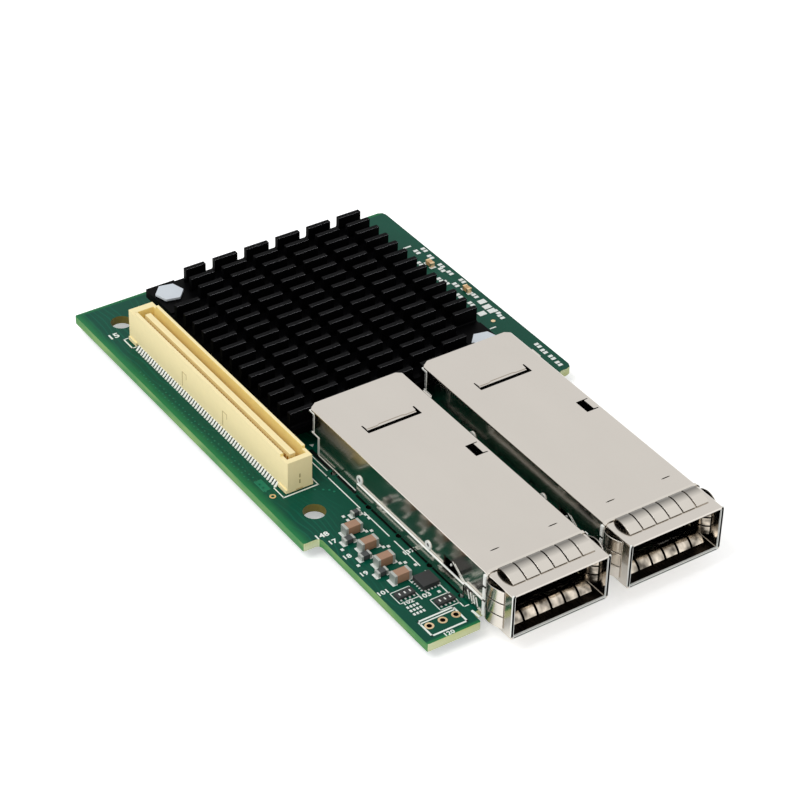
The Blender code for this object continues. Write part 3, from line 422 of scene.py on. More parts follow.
@dataclass(frozen=True)
class Blotched(Finish):
    """A surface that drifts between two colours in soft patches.

    Attributes:
        other: The second colour.
        cells: Patches a metre along each axis.
        patch_range: Range of the noise that runs from the first colour to the second.
        shade: Share by which the weave darkens the surface.
    """
    other: Colour = (0.5, 0.5, 0.5)
    cells: Triple = (90.0, 90.0, 400.0)
    patch_range: Span = (0.38, 0.66)
    shade: float = 0.25

    def make(self) -> bpy.types.Material:
        """Wire up the surface."""
        graph = Graph(self.name)
        patch = graph.spread(graph.noise(self.cells), self.patch_range, (0.0, 1.0))
        weave = graph.noise((self.grain, self.grain, self.grain / 3))
        mixed = graph.blend(patch, self.colour, self.other)
        dark = graph.blend(self.shade, mixed, (0.0, 0.0, 0.0))
        graph.set("Base Color", graph.blend(weave, dark, mixed))
        graph.set("Roughness", self.roughness)
        graph.set("Specular IOR Level", self.specular)
        graph.set("Normal", graph.bump(weave, self.relief, self.depth))
        return graph.material


@dataclass(frozen=True)
class Anodised(Finish):
    """Black anodising with a painted highlight on its upper front edges and painted light on the
    teeth's flat tops.

    Attributes:
        highlight: Colour of the painted highlight on the upper front edges.
        top: Colour of the teeth's flat tops, painted lighter than the sides as lit faces.
        highlight_depth: How far below the highest point the painted highlight and lit tops reach, in
            metres.
        slant: Slopes of an edge, from flat to its own, over which the painted highlight sets in.
    """
    worn: Colour = (0.3, 0.3, 0.3)
    top: Colour = (0.004, 0.004, 0.0045)
    highlight_depth: float = 0.0005
    slant: Span = (0.78, 0.92)

    def make(self) -> bpy.types.Material:
        """Wire up the anodising."""
        graph = Graph(self.name)
        grain = graph.noise((self.grain,) * 3)
        # Painted highlight on the upper front edges, and painted light on the flat tops near the
        # highest point
        ahead = graph.calc("SUBTRACT", graph.facing("Z"), graph.facing("Y"))
        slope = graph.calc("MULTIPLY", ahead, math.sqrt(0.5))
        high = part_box("heatsink")[1]
        upper = graph.calc("GREATER_THAN", graph.axis("Z"), high.z - self.highlight_depth)
        edge = graph.calc("MULTIPLY", graph.spread(slope, self.slant, (0.0, 1.0)), upper)
        flat = graph.calc("MULTIPLY", graph.calc("GREATER_THAN", graph.facing("Z"), 0.95), upper)
        dark, _ = self.shades()
        black = graph.blend(flat, graph.blend(grain, dark, self.colour), self.top)
        graph.set("Base Color", graph.blend(edge, black, self.worn))
        self.rough(graph, grain)
        graph.set("Specular IOR Level", self.specular)
        graph.set("Normal", graph.bump(grain, self.relief, self.depth))
        return graph.material


@dataclass(frozen=True)
class SolderMask(Finish):
    """Green mask over copper, with faint tracks and a brighter border where no copper lies.

    Attributes:
        border: Mask colour where no copper lies below.
        left_border: Where the copper starts at the left edge, in metres.
        other_border: Where the copper starts at the front and rear edges, in metres.
        left_fade: Width over which the copper fades in at the left edge, in metres.
        other_fade: The same at the other edges.
        track_pitch: Pitch of the tracks, in metres.
        track_width: Width of a track as a share of the pitch.
        track_light: How much lighter a track is than the mask.
        track_share: How far a track shows at most.
        bend: How far the tracks swing aside, in metres.
        wobble: How far the copper's left edge strays, in metres.
        deep: Share of its colour where the mask is darkest.
    """
    border: Colour = (0.02, 0.25, 0.12)
    left_border: float = 0.0006
    other_border: float = 0.0002
    left_fade: float = 0.0016
    other_fade: float = 0.0006
    track_pitch: float = 0.0011
    track_width: float = 0.24
    track_light: float = 1.7
    track_share: float = 0.42
    bend: float = 0.006
    wobble: float = 0.0006
    deep: float = 0.75

    def make(self) -> bpy.types.Material:
        """Wire up the mask."""
        graph = Graph(self.name)
        low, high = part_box("circuit_board")
        across = graph.axis("X")
        along = graph.axis("Y")
        wobble = graph.calc("MULTIPLY", graph.noise((500.0,) * 3), self.wobble)
        left = graph.calc("SUBTRACT", graph.calc("ADD", across, wobble), low.x)
        rear = graph.calc("SUBTRACT", high.y, along)
        front = graph.calc("SUBTRACT", along, low.y)
        ends = graph.calc("MINIMUM", self.ramp(graph, rear, self.other_border, self.other_fade),
                          self.ramp(graph, front, self.other_border, self.other_fade))
        copper = graph.calc("MINIMUM", ends,
                            self.ramp(graph, left, self.left_border, self.left_fade))
        deep = tuple(channel * self.deep for channel in self.colour)
        light = tuple(channel * self.track_light for channel in self.colour)
        mask = graph.blend(graph.noise((150.0,) * 3, detail=4.0), deep, self.colour)
        mask = graph.blend(self.tracks(graph, across), mask, light)
        graph.set("Base Color", graph.blend(copper, self.border, mask))
        graph.set("Roughness", self.roughness)
        graph.set("Specular IOR Level", self.specular)
        relief = graph.noise((1800.0,) * 3, detail=5.0)
        graph.set("Normal", graph.bump(relief, self.relief, self.depth))
        return graph.material

    @staticmethod
    def ramp(graph: Graph, value: bpy.types.NodeSocket, start: float,
             width: float) -> bpy.types.NodeSocket:
        """Rise from 0 to 1 over a width that begins at a start."""
        return graph.spread(value, (start, start + width), (0.0, 1.0))

    def tracks(self, graph: Graph, across: bpy.types.NodeSocket) -> bpy.types.NodeSocket:
        """Faint raised tracks that run in patches under the mask."""
        bend = graph.calc("MULTIPLY", graph.noise((90.0,) * 3, detail=1.0), self.bend)
        place = graph.calc("DIVIDE", graph.calc("ADD", across, bend), self.track_pitch)
        line = graph.calc("LESS_THAN", graph.calc("FRACT", place), self.track_width)
        patch = graph.spread(graph.noise((130.0, 60.0, 130.0), detail=2.0), (0.46, 0.58),
                             (0.0, self.track_share))
        return graph.calc("MULTIPLY", line, patch)


class Finishes:
    """Every finish on the card."""
    MASK = SolderMask("solder_mask", from_screen(4, 79, 61), roughness=0.3, relief=0.25,
                      depth=0.00003, border=from_screen(34, 118, 69), specular=0.1)
    # Shaded and lit copies of the same cut board edge: darker green on the left faces, pale on the
    # others
    CUT_SIDE_SHADED = Blotched("cut_board_side_shaded", from_screen(82, 148, 88), roughness=0.7,
                        other=from_screen(138, 178, 110), specular=0.2)
    CUT_FRONT_LIT = Blotched("cut_board_front_lit", from_screen(230, 236, 196), roughness=0.7,
                         other=from_screen(210, 216, 146), specular=0.2)
    HOLE = Finish("mounting_hole_wall", from_screen(112, 102, 34), roughness=0.6)
    # Walls of the small plated holes: the copper plating darkened near to black as painted shade
    # inside the narrow holes
    DARK_HOLE = Finish("plated_hole_wall", from_screen(30, 18, 10), roughness=0.7, specular=0.1)
    MASK_OVER_COPPER = Finish("mask_over_copper", from_screen(12, 112, 84), roughness=0.35,
                              specular=0.2)
    # Near-black strips beside the cage walls: painted shadow under the walls' feet
    WALL_SHADOW = Finish("painted_wall_shadow", from_screen(6, 10, 8), roughness=0.4, specular=0.2)
    # Pale strips at the sheets' cut and pressed edges: partly the cut edge's own matte colour,
    # partly painted highlight
    EDGE_HIGHLIGHT = Finish("cut_edge_highlight", from_screen(240, 242, 238), roughness=0.5,
                      metallic=0.1, grain=5000.0)
    PRINT = Finish("white_print", from_screen(232, 238, 232), roughness=0.6)
    CREAM = Finish("cream_moulding", from_screen(251, 235, 183), roughness=0.5, tone=0.03,
                   specular=0.18)
    # Warmer, deeper copy of the cream moulding for the pocket's walls and floor: painted shade
    # inside the pocket
    CREAM_POCKET_SHADE = Finish("cream_pocket_shade", from_screen(254, 228, 148), roughness=0.5, tone=0.05)
    GOLD = Finish("gold_contact", from_screen(214, 170, 92), roughness=0.28, metallic=1.0)
    TIN = Finish("tinned_lead", from_screen(238, 240, 234), roughness=0.42, metallic=0.1)
    END_CAP = Finish("plated_end", from_screen(180, 184, 178), roughness=0.35, metallic=0.45)
    # Dark cream of the small marks on the housing: painted shadow along their relief
    CREAM_RELIEF_SHADOW = Finish("cream_relief_shadow", from_screen(176, 156, 102), roughness=0.5)
    # Inner fingers: a darker copy of the spring sheet, with strong drift across the fingers and a
    # dark band along Y, painted as shade and highlights inside the mouth
    INNER_SPRING_SHADE = SheetMetal("inner_spring_painted_shade", from_screen(188, 178, 164), roughness=0.2,
                              tone=0.75, wave=0.7, cells=(430.0, 90.0, 430.0), contrast=0.12,
                              band=(-0.0490, -0.0510, -0.0536, -0.0548))
    # Dark sheet that paints shade: the cage floor's inner top, the dimples' middles and the collar's
    # gaps
    SHADED = SheetMetal("shaded_floor_sheet", from_screen(66, 60, 54), roughness=0.3)
    SOLDER = Finish("solder", from_screen(228, 232, 228), roughness=0.36, metallic=0.25,
                    grain=2500.0)
    ANODISED = Anodised("black_anodising", from_screen(4, 4, 5), roughness=0.42, tone=0.3,
                        grain=14000.0, relief=0.2, specular=0.03,
                        worn=from_screen(176, 176, 180))
    HEX = Finish("pale_screw_face", from_screen(206, 213, 220), roughness=0.4, tone=0.03)
    STEEL = Finish("plain_steel", from_screen(170, 170, 168), roughness=0.35, metallic=1.0)
    CAGE = SheetMetal("cage_sheet", from_screen(207, 201, 193), roughness=0.15, tone=0.03,
                      relief=0.12, depth=0.000004)
    # Outer fingers: the dark band along Y is painted shade on the fingers' rear slopes
    SPRING = SheetMetal("spring_sheet", from_screen(214, 208, 199), roughness=0.17, tone=0.04,
                        relief=0.1, depth=0.000004, wave=0.2,
                        band=(-0.0515, -0.0519, -0.0526, -0.0543))
    MOULDING = Finish("black_moulding", from_screen(24, 24, 26), roughness=0.5, tone=0.2)
    EPOXY = Finish("chip_epoxy", from_screen(32, 34, 35), roughness=0.48, tone=0.12)
    FERRITE = Finish("dark_ferrite", from_screen(62, 66, 66), roughness=0.5, tone=0.15)
    BROWN = Finish("brown_ceramic", from_screen(160, 124, 99), roughness=0.4, tone=0.08)
    TAN = Finish("tan_ceramic", from_screen(200, 160, 110), roughness=0.45, tone=0.08)
    RING = Finish("plated_ring", from_screen(228, 200, 160), roughness=0.35, metallic=1.0)
    SUBSTRATE = Finish("package_substrate", from_screen(30, 84, 52), roughness=0.4)
    LID = Finish("nickel_lid", from_screen(190, 188, 182), roughness=0.3, metallic=1.0)
    GAP_PAD = Finish("gap_pad", from_screen(150, 156, 164), roughness=0.8, tone=0.1)


class Maker:
    """Collects closed shapes in card measures into one piece."""

    def __init__(self) -> None:
        """Start an empty piece."""
        self.bm = bmesh.new()
        self.slot = 0

    def _claim(self, verts: Iterable[bmesh.types.BMVert]) -> None:
        """Give the faces round these vertices the current finish."""
        for face in {face for vert in verts for face in vert.link_faces}:
            face.material_index = self.slot

    def box(self, across: Span, along: Span, up: Span) -> list[bmesh.types.BMVert]:
        """Add a box that fills three spans."""
        low = Vector((across[0], along[0], up[0]))
        high = Vector((across[1], along[1], up[1]))
        place = Matrix.Translation((low + high) / 2) @ Matrix.Diagonal((*(high - low), 1.0))
        verts = bmesh.ops.create_cube(self.bm, size=1.0, matrix=place)["verts"]
        self._claim(verts)
        return verts

    def plate(self, loops: Sequence[Sequence[Point]], thickness: Span, plane: Plane = Plane.TOP,
              place: Matrix = Matrix.Identity(4)) -> list[bmesh.types.BMVert]:
        """Add a flat plate from an outer outline and its holes.

        Args:
            loops: The outer outline, then any holes.
            thickness: Where the plate starts and ends along its own normal.
            plane: Plane of the outlines.
            place: Move applied after the plate is made.

        Returns:
            The plate's vertices.
        """
        edges = []
        flat = []
        for loop in loops:
            verts = [self.bm.verts.new((x, y, thickness[0])) for x, y in loop]
            edges += [self.bm.edges.new((verts[i - 1], verts[i])) for i in range(len(verts))]
            flat += verts
        filled = bmesh.ops.triangle_fill(self.bm, use_beauty=True, edges=edges)
        faces = [item for item in filled["geom"] if isinstance(item, bmesh.types.BMFace)]
        grown = bmesh.ops.extrude_face_region(self.bm, geom=faces)
        raised = [item for item in grown["geom"] if isinstance(item, bmesh.types.BMVert)]
        lift = Vector((0.0, 0.0, thickness[1] - thickness[0]))
        bmesh.ops.translate(self.bm, vec=lift, verts=raised)
        verts = flat + raised
        bmesh.ops.transform(self.bm, matrix=place @ plane.value, verts=verts)
        self._claim(verts)
        return verts

    def piece(self, name: str, card: CardFrame, finishes: Sequence[Finish],
              replaces: Sequence[str] = (), slot: Optional[str] = None, edge: float = 0.0,
              segments: int = 2) -> bpy.types.Object:
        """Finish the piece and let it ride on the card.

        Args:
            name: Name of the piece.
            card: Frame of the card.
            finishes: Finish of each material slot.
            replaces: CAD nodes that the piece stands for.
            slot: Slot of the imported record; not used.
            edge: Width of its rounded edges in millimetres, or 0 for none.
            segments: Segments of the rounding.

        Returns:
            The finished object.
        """
        bmesh.ops.transform(self.bm, matrix=card.matrix(), verts=self.bm.verts)
        bmesh.ops.recalc_face_normals(self.bm, faces=self.bm.faces)
        mesh = bpy.data.meshes.new(name)
        self.bm.to_mesh(mesh)
        self.bm.free()
        for finish in finishes:
            mesh.materials.append(finish.material())
        made = bpy.data.objects.new(name, mesh)
        bpy.context.scene.collection.objects.link(made)
        smooth_by_angle(made)
        if edge:
            round_edges(made, edge, segments)
        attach(made, BODY)
        if replaces:
            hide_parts(*replaces)
        LOG.info("%s: %d faces", name, len(mesh.polygons))
        return made


def smooth_by_angle(piece: bpy.types.Object) -> None:
    """Shade a piece smoothly, with its sharp edges kept."""
    piece.data.shade_smooth()
    piece.data.set_sharp_from_angle(angle=SHARP_ANGLE)


def round_edges(piece: bpy.types.Object, width: float, segments: int) -> None:
    """Round the sharp edges of a piece by a width in millimetres."""
    modifier = piece.modifiers.new("rounded_edges", "BEVEL")
    modifier.width = width * MM
    modifier.segments = segments
    modifier.limit_method = "ANGLE"
    modifier.angle_limit = SHARP_ANGLE
    modifier.harden_normals = True


def dress(frame: dict, node: str, finish: Finish) -> bpy.types.Object:
    """Give a CAD node its finish.

    Args:
        node: Name of the node.
        finish: Finish for the whole node.

    Returns:
        The node's object.
    """
    piece = frame["nodes"][node]
    if piece.material_slots:
        for place in piece.material_slots:
            place.material = finish.material()
    else:
        piece.data.materials.append(finish.material())
    return piece


def refine(frame: dict, node: str, finish: Finish, edge: float) -> bpy.types.Object:
    """Stand in for a CAD node with a merged copy that has softened edges.

    Args:
        node: Name of the node.
        finish: Finish of the copy.
        edge: Width of its rounded edges in millimetres.

    Returns:
        The finished copy.
    """
    bm = bmesh.new()
    bm.from_mesh(frame["nodes"][node].data)
    bmesh.ops.remove_doubles(bm, verts=bm.verts, dist=WELD * MM)
    bmesh.ops.dissolve_limit(bm, angle_limit=FLAT_ANGLE, verts=bm.verts, edges=bm.edges)
    bmesh.ops.recalc_face_normals(bm, faces=bm.faces)
    mesh = bpy.data.meshes.new(node + "_finished")
    bm.to_mesh(mesh)
    bm.free()
    for face in mesh.polygons:
        face.material_index = 0
    mesh.materials.append(finish.material())
    made = bpy.data.objects.new(node + "_finished", mesh)
    bpy.context.scene.collection.objects.link(made)
    smooth_by_angle(made)
    round_edges(made, edge, 2)
    weigh_normals(made)
    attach(made, BODY)
    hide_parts(node)
    LOG.info("%s: %d faces", made.name, len(mesh.polygons))
    return made


@dataclass(frozen=True)
class Fold:
    """One bend in a sheet that was cut out flat.

    Attributes:
        axis: 0 where the sheet beyond the fold lies across, 1 where it lies along.
        line: Where the bend starts.
        side: +1 or -1, the way from the line to the part that bends.
        degrees: Angle of the bend, towards the sheet's inner face.
        radius: Radius of the inner face.
        reach: Span of the other axis that the bend takes with it.
        steps: Flat strips that make the bend.
    """
    axis: int
    line: float
    side: int
    degrees: float = 90.0
    radius: float = 0.2
    reach: Span = (-1000.0, 1000.0)
    steps: int = 5

    @property
    def angle(self) -> float:
        """Angle of the bend in radians."""
        return math.radians(self.degrees)

    @property
    def arc(self) -> float:
        """Length of sheet that the bend uses up."""
        return self.radius * self.angle

    def score(self, bm: bmesh.types.BMesh) -> None:
        """Cut the flat sheet into the strips of the bend."""
        normal = Vector((0.0, 0.0, 0.0))
        normal[self.axis] = 1.0
        for step in range(self.steps + 1):
            place = normal * (self.line + self.side * self.arc * step / self.steps)
            everything = [*bm.verts, *bm.edges, *bm.faces]
            bmesh.ops.bisect_plane(bm, geom=everything, dist=1e-5, plane_co=place,
                                   plane_no=normal)

    def bend(self, bm: bmesh.types.BMesh, flat: dict[int, Vector]) -> None:
        """Bend the sheet.

        Args:
            bm: The sheet.
            flat: Place of each vertex in the flat sheet.
        """
        other = 1 - self.axis
        for vert in bm.verts:
            home = flat[vert.index]
            ahead = (home[self.axis] - self.line) * self.side
            if ahead <= 0.0 or not self.reach[0] <= home[other] <= self.reach[1]:
                continue
            turn = min(ahead / self.arc, 1.0) * self.angle
            beyond = max((vert.co[self.axis] - self.line) * self.side - self.arc, 0.0)
            if ahead < self.arc:
                beyond = 0.0
            ring = self.radius + vert.co.z
            out = ring * math.sin(turn) + beyond * math.cos(turn)
            vert.co.z = ring * math.cos(turn) - self.radius - beyond * math.sin(turn)
            vert.co[self.axis] = self.line + self.side * out


def fold_sheet(maker: Maker, loops: Sequence[Sequence[Point]], sheet: float,
               folds: Sequence[Fold], place: Matrix) -> None:
    """Cut a sheet out flat, bend it and add it to a piece.

    Args:
        maker: Piece that takes the sheet.
        loops: Outline of the flat sheet, then its holes.
        sheet: Thickness of the sheet.
        folds: Bends, the outermost first.
        place: Move applied after the bends.
    """
    part = Maker()
    part.slot = maker.slot
    part.plate(loops, (0.0, sheet))
    for fold in folds:
        fold.score(part.bm)
    part.bm.verts.index_update()
    flat = {vert.index: vert.co.copy() for vert in part.bm.verts}
    for fold in folds:
        fold.bend(part.bm, flat)
    bmesh.ops.transform(part.bm, matrix=place, verts=part.bm.verts)
    held = bpy.data.meshes.new("held")
    part.bm.to_mesh(held)
    part.bm.free()
    maker.bm.from_mesh(held)
    bpy.data.meshes.remove(held)


class Print:
    """Places of the white print on the board, in card measures.

    A stroke is its start, its end and its weight; a number is its digits, place and height.
    """
    HEADER_FRAME = ((4.95, 11.72), (104.7, 108.65))
    HEADER_WEIGHT = 1.7
    CAGE_LINE = 13.1
    CAGE_LINE_SPANS = ((57.5, 65.1), (65.8, 75.5), (76.9, 84.3), (85.9, 93.3), (94.9, 102.0))
    STROKES = (((5.05, 105.3), (11.6, 105.3), 1.3), ((14.02, 57.5), (14.02, 63.9), 0.7),
               ((12.6, 102.0), (13.1, 102.0), 1.0), ((13.27, 103.8), (13.27, 105.57), 1.0),
               ((13.27, 105.57), (14.15, 105.57), 1.0), ((13.8, 107.2), (13.9, 108.7), 2.2),
               ((64.2, 13.2), (65.5, 13.2), 2.0), ((62.4, 44.1), (63.5, 44.1), 1.5))
    TRIANGLE = ((15.3, 56.1), (16.1, 56.5), (15.45, 57.05))
    NUMBERS = (("15", (2.75, 9.7), 2.0), ("148", (3.75, 78.3), 1.55), ("17", (4.4, 80.6), 1.4),
               ("18", (4.3, 85.1), 1.4), ("19", (4.25, 90.2), 1.4), ("101", (4.25, 95.8), 1.35),
               ("102", (6.35, 99.85), 1.2), ("103", (9.5, 100.0), 1.4),
               ("137", (13.5, 89.4), 1.3), ("120", (7.6, 109.55), 1.2))


class Copper:
    """Places of the bare and masked copper and of the painted shadow beside the cage walls, in card
    measures.

    A hole is its centre, outer radius, inner radius and count of corners. A shadow strip is its
    start, its end and how far it reaches from a cage wall.
    """
    HEADER_HOLES = tuple(((across, 106.43), 0.8, 0.46, 32) for across in (5.94, 8.52, 11.11))
    SMALL_HOLE = ((2.44, 65.07), 0.58, 0.3, 24)
    ROUND_PAD = ((64.3, 42.3), 0.42, 20)
    EDGE_PAIRS = ((65.5, 15.6), (67.1, 15.7), (63.65, 19.3), (66.0, 23.2), (66.7, 24.9),
                  (63.75, 25.85), (65.3, 28.85), (67.1, 28.4), (63.7, 32.2), (66.2, 33.8),
                  (64.05, 35.6), (66.6, 40.3), (66.3, 42.0), (66.7, 18.4), (66.7, 22.0),
                  (64.2, 27.2), (66.6, 53.1), (66.4, 55.2), (66.5, 57.5), (66.4, 59.7))
    EDGE_LANDS = ((66.2, 36.1), (66.0, 37.95), (66.0, 39.5), (63.9, 39.3))
    TONGUE_PADS = ((9.5, 76.0), (9.6, 77.2), (12.9, 77.5), (12.9, 78.6), (10.6, 81.3),
                   (11.4, 81.6), (10.7, 86.2), (11.5, 86.5), (10.7, 91.1), (11.5, 91.4),
                   (12.6, 92.8), (4.6, 83.2), (4.6, 88.0), (13.0, 95.6), (13.2, 96.6),
                   (12.0, 100.4))
    GRID_PADS = tuple((5.5 + row * 0.62, 101.0 + column * 0.95)
                      for row in range(4) for column in range(3))
    VIA_ROWS = ((1.35, 22.0), (2.25, 27.5))
    VIAS_IN_ROW = 34
    VIA_PITCH = 1.12
    SINGLE_VIAS = ((9.44, 67.27), (10.63, 68.02), (11.45, 68.64), (11.9, 69.44))
    PATCH = ((1.75, 3.25), (60.0, 63.2))
    SHADOW_STRIPS = ((57.5, 64.0, 0.45), (66.1, 71.8, 0.4), (72.3, 75.3, 0.54),
                   (76.9, 84.3, 0.54), (85.9, 93.3, 0.52), (94.9, 102.3, 0.5))


@dataclass
class Board:
    """Circuit board: mask, plated holes, print, pads and painted shadow beside the cage walls.

    Attributes:
        card: Frame of the card.
        copper: Height of masked copper.
        bare: Height of bare plated copper.
        pad_height: Height of a pad with its solder.
        shadow_height: Thickness of the strips of painted shadow.
        ink: Thickness of the print.
        line: Width of a print line of weight 1.
        letter_stretch: How much wider than usual the numbers are.
        letter_swell: How much bolder they are, as a share of their height.
        hole_limit: Width up to which an upright wall belongs to a hole.
        small_hole_limit: Width up to which that hole is a small plated one.
    """
    card: CardFrame
    copper: float = 0.02
    bare: float = 0.04
    pad_height: float = 0.09
    shadow_height: float = 0.05
    ink: float = 0.03
    line: float = 0.2
    letter_stretch: float = 1.15
    letter_swell: float = 0.025
    hole_limit: float = 6.0
    small_hole_limit: float = 3.6

    def build(self, frame: dict) -> None:
        """Dress the board and the plain parts that it carries.
        """
        self.body(frame)
        dress(frame, "chip_package", Finishes.SUBSTRATE)
        dress(frame, "chip_lid", Finishes.LID)
        dress(frame, "thermal_pad", Finishes.GAP_PAD)
        for place in ("rear", "front"):
            dress(frame, "heatsink_nut_" + place, Finishes.STEEL)
        self.print_lines()
        self.rings()
        self.pads()
        self.vias()
        self.wall_shadow()

    def body(self, frame: dict) -> None:
        """Stand in for the bare board, with a finish for each kind of cut face; the left and the
        other outer cut faces take a shaded and a lit copy of the same cut edge.
        """
        made = refine(frame, "circuit_board", Finishes.MASK, 0.03)
        for finish in (Finishes.CUT_SIDE_SHADED, Finishes.CUT_FRONT_LIT, Finishes.HOLE,
                       Finishes.DARK_HOLE):
            made.data.materials.append(finish.material())
        for wall in self.wall_loops(made.data):
            corners = [made.data.vertices[index].co.x for face in wall for index in face.vertices]
            width = (max(corners) - min(corners)) / MM
            for face in wall:
                if width > self.hole_limit:
                    face.material_index = 1 if face.normal.x < -0.5 else 2
                else:
                    face.material_index = 3 if width > self.small_hole_limit else 4

    @staticmethod
    def wall_loops(mesh: bpy.types.Mesh) -> list[list[bpy.types.MeshPolygon]]:
        """Group the upright faces of a mesh into its outer wall and one wall a hole.

        Args:
            mesh: Mesh of a plate with holes.

        Returns:
            The faces of each wall.
        """
        owners: dict[int, list[int]] = {}
        waiting = {face.index for face in mesh.polygons if abs(face.normal.z) < 0.5}
        for index in waiting:
            for vert in mesh.polygons[index].vertices:
                owners.setdefault(vert, []).append(index)
        walls = []
        while waiting:
            found = [waiting.pop()]
            for index in found:
                for vert in mesh.polygons[index].vertices:
                    fresh = [other for other in owners[vert] if other in waiting]
                    waiting.difference_update(fresh)
                    found += fresh
            walls.append([mesh.polygons[index] for index in found])
        return walls

    def stroke(self, maker: Maker, start: Point, end: Point, weight: float = 1.0) -> None:
        """Print one straight line.

        Args:
            maker: Piece that takes the line.
            start: One end of the line.
            end: Its other end.
            weight: Width in print lines.
        """
        half = self.line * weight / 2
        way = (Vector(end) - Vector(start)).normalized()
        side = Vector((-way.y, way.x)) * half
        tip = way * half
        corners = [Vector(start) - tip + side, Vector(start) - tip - side,
                   Vector(end) + tip - side, Vector(end) + tip + side]
        maker.plate([[(corner.x, corner.y) for corner in corners]], (0.0, self.ink))

    def frame_line(self, maker: Maker, across: Span, along: Span, weight: float) -> None:
        """Print a rectangle's outline.

        Args:
            maker: Piece that takes the lines.
            across: The rectangle's span across the card.
            along: Its span along the card.
            weight: Width in print lines.
        """
        corners = rectangle(across, along)
        for index, corner in enumerate(corners):
            self.stroke(maker, corners[index - 1], corner, weight)

    def print_lines(self) -> None:
        """Print the white lines and the numbers."""
        maker = Maker()
        self.frame_line(maker, *Print.HEADER_FRAME, Print.HEADER_WEIGHT)
        for start, end in Print.CAGE_LINE_SPANS:
            self.stroke(maker, (Print.CAGE_LINE, start), (Print.CAGE_LINE, end))
        for start, end, weight in Print.STROKES:
            self.stroke(maker, start, end, weight)
        maker.plate([Print.TRIANGLE], (0.0, self.ink))
        self.connector_corners(maker)
        self.part_outlines(maker)
        for text, place, height in Print.NUMBERS:
            self.number(maker, text, place, height)
        maker.piece("board_print", self.card, [Finishes.PRINT])

    def connector_corners(self, maker: Maker, rear_leg: float = 3.2,
                          front_leg: float = 3.1) -> None:
        """Print the corners of the stacking connector's outline.

        Args:
            maker: Piece that takes the lines.
            rear_leg: Length of the line forward from the rear corner.
            front_leg: Length of the lines back from the front corners.
        """
        across, along, _ = self.card.spans("mezzanine_connector")
        left, right = across[0] - 0.2, across[1] + 0.2
        rear, front = along[0] - 0.45, along[1] + 0.35
        self.stroke(maker, (left, rear), (left, rear + rear_leg), 1.3)
        self.stroke(maker, (left, rear + rear_leg), (left + 1.3, rear + rear_leg), 1.3)
        self.stroke(maker, (left, rear), (left + 0.9, rear))
        self.stroke(maker, (left, front), (right, front), 1.3)
        for corner in (left, right):
            self.stroke(maker, (corner, front), (corner, front - front_leg))

    def part_outlines(self, maker: Maker, weight: float = 0.8) -> None:
        """Print the outlines of the networks and two sides of the regulator's.

        Args:
            maker: Piece that takes the lines.
            weight: Width in print lines.
        """
        for node in ("resistor_network_1", "resistor_network_2"):
            across, along, _ = self.card.spans(node)
            self.frame_line(maker, (across[0] - 0.2, across[1] + 0.2),
                            (along[0] - 0.75, along[1] + 0.75), weight)
        across, along, _ = self.card.spans("regulator_chip")
        rear = along[0] - 0.35
        for corner in (across[0] - 0.35, across[1] + 0.35):
            self.stroke(maker, (corner, rear), (corner, rear + 0.8), weight)

    def number(self, maker: Maker, text: str, place: Point, height: float) -> None:
        """Print a plain number.

        Args:
            maker: Piece that takes the number.
            text: Digits of the number.
            place: Middle of the number.
            height: Height of the type.
        """
        data = bpy.data.curves.new("number", "FONT")
        data.body = text
        data.size = height
        data.extrude = self.ink / 2
        data.offset = height * self.letter_swell
        data.resolution_u = 2
        data.align_x = "CENTER"
        data.align_y = "CENTER"
        holder = bpy.data.objects.new("number", data)
        bpy.context.scene.collection.objects.link(holder)
        bpy.context.view_layer.update()
        ready = holder.evaluated_get(bpy.context.evaluated_depsgraph_get())
        mesh = bpy.data.meshes.new_from_object(ready)
        bpy.data.objects.remove(holder, do_unlink=True)
        bpy.data.curves.remove(data)
        bm = bmesh.new()
        bm.from_mesh(mesh)
        bmesh.ops.remove_doubles(bm, verts=bm.verts, dist=self.ink / 10)
        lay = Matrix.Translation((place[0], place[1], self.ink / 2))
        bmesh.ops.transform(bm, matrix=lay @ Matrix.Diagonal((self.letter_stretch, -1.0, 1.0, 1.0)),
                            verts=bm.verts)
        bm.to_mesh(mesh)
        bm.free()
        mesh.materials.clear()
        maker.bm.from_mesh(mesh)
        bpy.data.meshes.remove(mesh)

    def rings(self) -> None:
        """Lay the plated rings round the holes, and one round pad."""
        maker = Maker()
        for centre, outer, inner, count in (*Copper.HEADER_HOLES, Copper.SMALL_HOLE):
            maker.plate([ring_points(centre, outer, count), ring_points(centre, inner, count)],
                        (0.0, self.bare))
        maker.plate([ring_points(*Copper.ROUND_PAD)], (0.0, self.bare))
        maker.piece("plated_rings", self.card, [Finishes.RING])

    def pad(self, maker: Maker, centre: Point, half: Point, height: float) -> None:
        """Lay one oblong pad.

        Args:
            maker: Piece that takes the pad.
            centre: Middle of the pad.
            half: Half of its size across and along the card.
            height: Height of its top.
        """
        maker.box(around(centre[0], half[0]), around(centre[1], half[1]), (0.0, height))

    def pads(self) -> None:
        """Lay the bare pads and solder dots that carry no part."""
        maker = Maker()
        for across, along in Copper.EDGE_PAIRS:
            for shift in (-0.45, 0.45):
                self.pad(maker, (across, along + shift), (0.46, 0.32), self.pad_height)
        for centre in Copper.EDGE_LANDS:
            self.pad(maker, centre, (0.8, 0.62), self.pad_height + 0.03)
        for centre in Copper.GRID_PADS:
            self.pad(maker, centre, (0.2, 0.28), self.pad_height)
        for centre in Copper.TONGUE_PADS:
            self.pad(maker, centre, (0.26, 0.3), self.pad_height + 0.01)
        maker.piece("bare_pads", self.card, [Finishes.SOLDER], edge=0.04)

